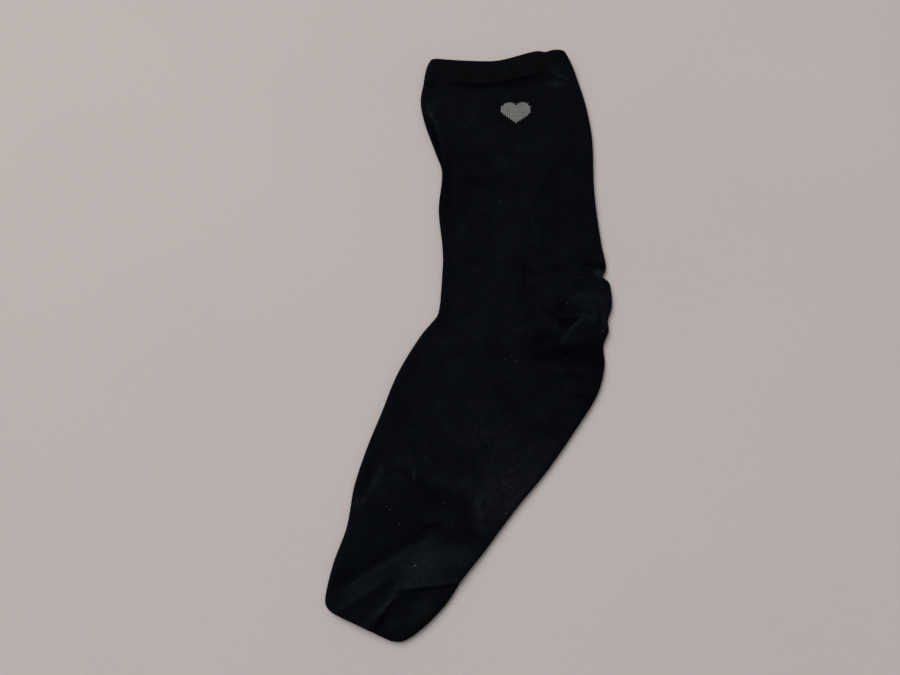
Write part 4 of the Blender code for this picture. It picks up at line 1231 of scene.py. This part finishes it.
def make_lint(points):
    """Pale specks and short fibres caught on the knit, some of them at random."""
    table = np.array(LINT)
    i = RNG.integers(RANDOM_MARGINS[0], points.shape[0] - RANDOM_MARGINS[1], RANDOM_LINT)
    j = RNG.integers(ROUND_COLUMNS, points.shape[1] - ROUND_COLUMNS, RANDOM_LINT)
    spots = points[i, j]
    spots[:, 2] += np.where(j < BACK_FOLD_COLUMN, *RANDOM_LIFT)
    listed = np.column_stack([table[:, :2], surface_height(table[:, :2], points) + LINT_LIFT])
    angle = np.radians(np.append(table[:, 3], RNG.uniform(0, 360, RANDOM_LINT)))
    lengths = np.append(table[:, 2], RNG.uniform(*RANDOM_LENGTH, RANDOM_LINT))
    heading = np.column_stack([np.cos(angle), np.sin(angle), np.full(len(angle), LINT_RISE)])
    paths = curved_paths(np.concatenate([listed, spots]), heading, lengths, len(LINT_PROFILE), LINT_CURL)
    thick = np.append(table[:, 4], RNG.uniform(*RANDOM_THICK, RANDOM_LINT))
    return make_tubes("lint", paths, LINT_RADIUS * thick[:, None] * np.array(LINT_PROFILE),
                      LINT_SIDES, MATERIALS["lint"])


# ---- stage, light and camera

CAMERA_PLACE = (-15.04, -137.57, 370.0)
CAMERA_DOWN = 72.0          # degrees below the horizon, looking along +Y
CAMERA_LENS = 28.0
CAMERA_SENSOR = 36.0
CAMERA_CLIP = 0.01
FLOOR_HALF = 4000.0
FLOOR_DROP = 0.2
KEY_PLACE = (-2.6, 2.3, 4.0)            # metres
KEY_SIZE = 4.4
KEY_POWER = 252.0
KEY_COLOUR = (1.0, 0.99, 0.97)
SKY = 0.42
SKY_COLOUR = (1.0, 0.985, 0.975, 1.0)
HORIZON = (0.467, 0.418, 0.397, 1.0)    # what the camera sees past the floor


def place_object(name, data, place, turn):
    made = bpy.data.objects.new(name, data)
    made.location = place
    made.rotation_euler = turn
    bpy.context.scene.collection.objects.link(made)
    return made


def make_stage():
    corners = [(FLOOR_HALF * x, FLOOR_HALF * y, -FLOOR_DROP) for x, y in ((-1, -1), (1, -1), (1, 1), (-1, 1))]
    floor = new_object("floor", corners, [(0, 1, 2, 3)], floor_material())

    key = bpy.data.lights.new("key", "AREA")
    key.shape = "DISK"
    key.size = KEY_SIZE
    key.energy = KEY_POWER
    key.color = KEY_COLOUR
    x, y, z = KEY_PLACE
    place_object("key", key, KEY_PLACE,
                 (math.acos(z / math.hypot(x, y, z)), 0.0, math.atan2(-y, -x) - math.pi / 2))

    world = bpy.data.worlds.new("soft_room")
    world.use_nodes = True
    nodes = world.node_tree.nodes
    links = world.node_tree.links
    room = nodes["Background"]
    room.inputs["Color"].default_value = SKY_COLOUR
    room.inputs["Strength"].default_value = SKY
    horizon = nodes.new("ShaderNodeBackground")
    horizon.inputs["Color"].default_value = HORIZON
    seen = nodes.new("ShaderNodeLightPath")
    either = nodes.new("ShaderNodeMixShader")
    links.new(seen.outputs["Is Camera Ray"], either.inputs[0])
    links.new(room.outputs[0], either.inputs[1])
    links.new(horizon.outputs[0], either.inputs[2])
    links.new(either.outputs[0], nodes["World Output"].inputs["Surface"])
    bpy.context.scene.world = world


def make_camera():
    data = bpy.data.cameras.new("camera")
    data.lens = CAMERA_LENS
    data.sensor_width = CAMERA_SENSOR
    data.clip_start = CAMERA_CLIP
    camera = place_object("camera", data, [METRES * value for value in CAMERA_PLACE],
                          (math.radians(90.0 - CAMERA_DOWN), 0.0, 0.0))
    bpy.context.scene.camera = camera
    bpy.context.scene.view_settings.view_transform = "Standard"


# ---- everything together


def main():
    make_camera()
    make_stage()
    welt, welt_points = make_welt()
    (leg_foot, heel, toe), body_points, outlines = make_body()
    heart = make_heart()
    fuzz = make_fuzz(welt_points, body_points)
    yarns = make_frayed_yarns(outlines, body_points)
    lint = make_lint(body_points)

    for piece, node, slot in ((welt, "welt", "welt_knit"), (leg_foot, "leg_foot", "body_knit"),
                              (heel, "heel", "heel_knit"), (toe, "toe", "toe_knit"),
                              (heart, "heart", "heart_yarn")):
        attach(piece, "root")
        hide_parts(node)
    for piece in (fuzz, yarns, lint):
        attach(piece, "root")


main()
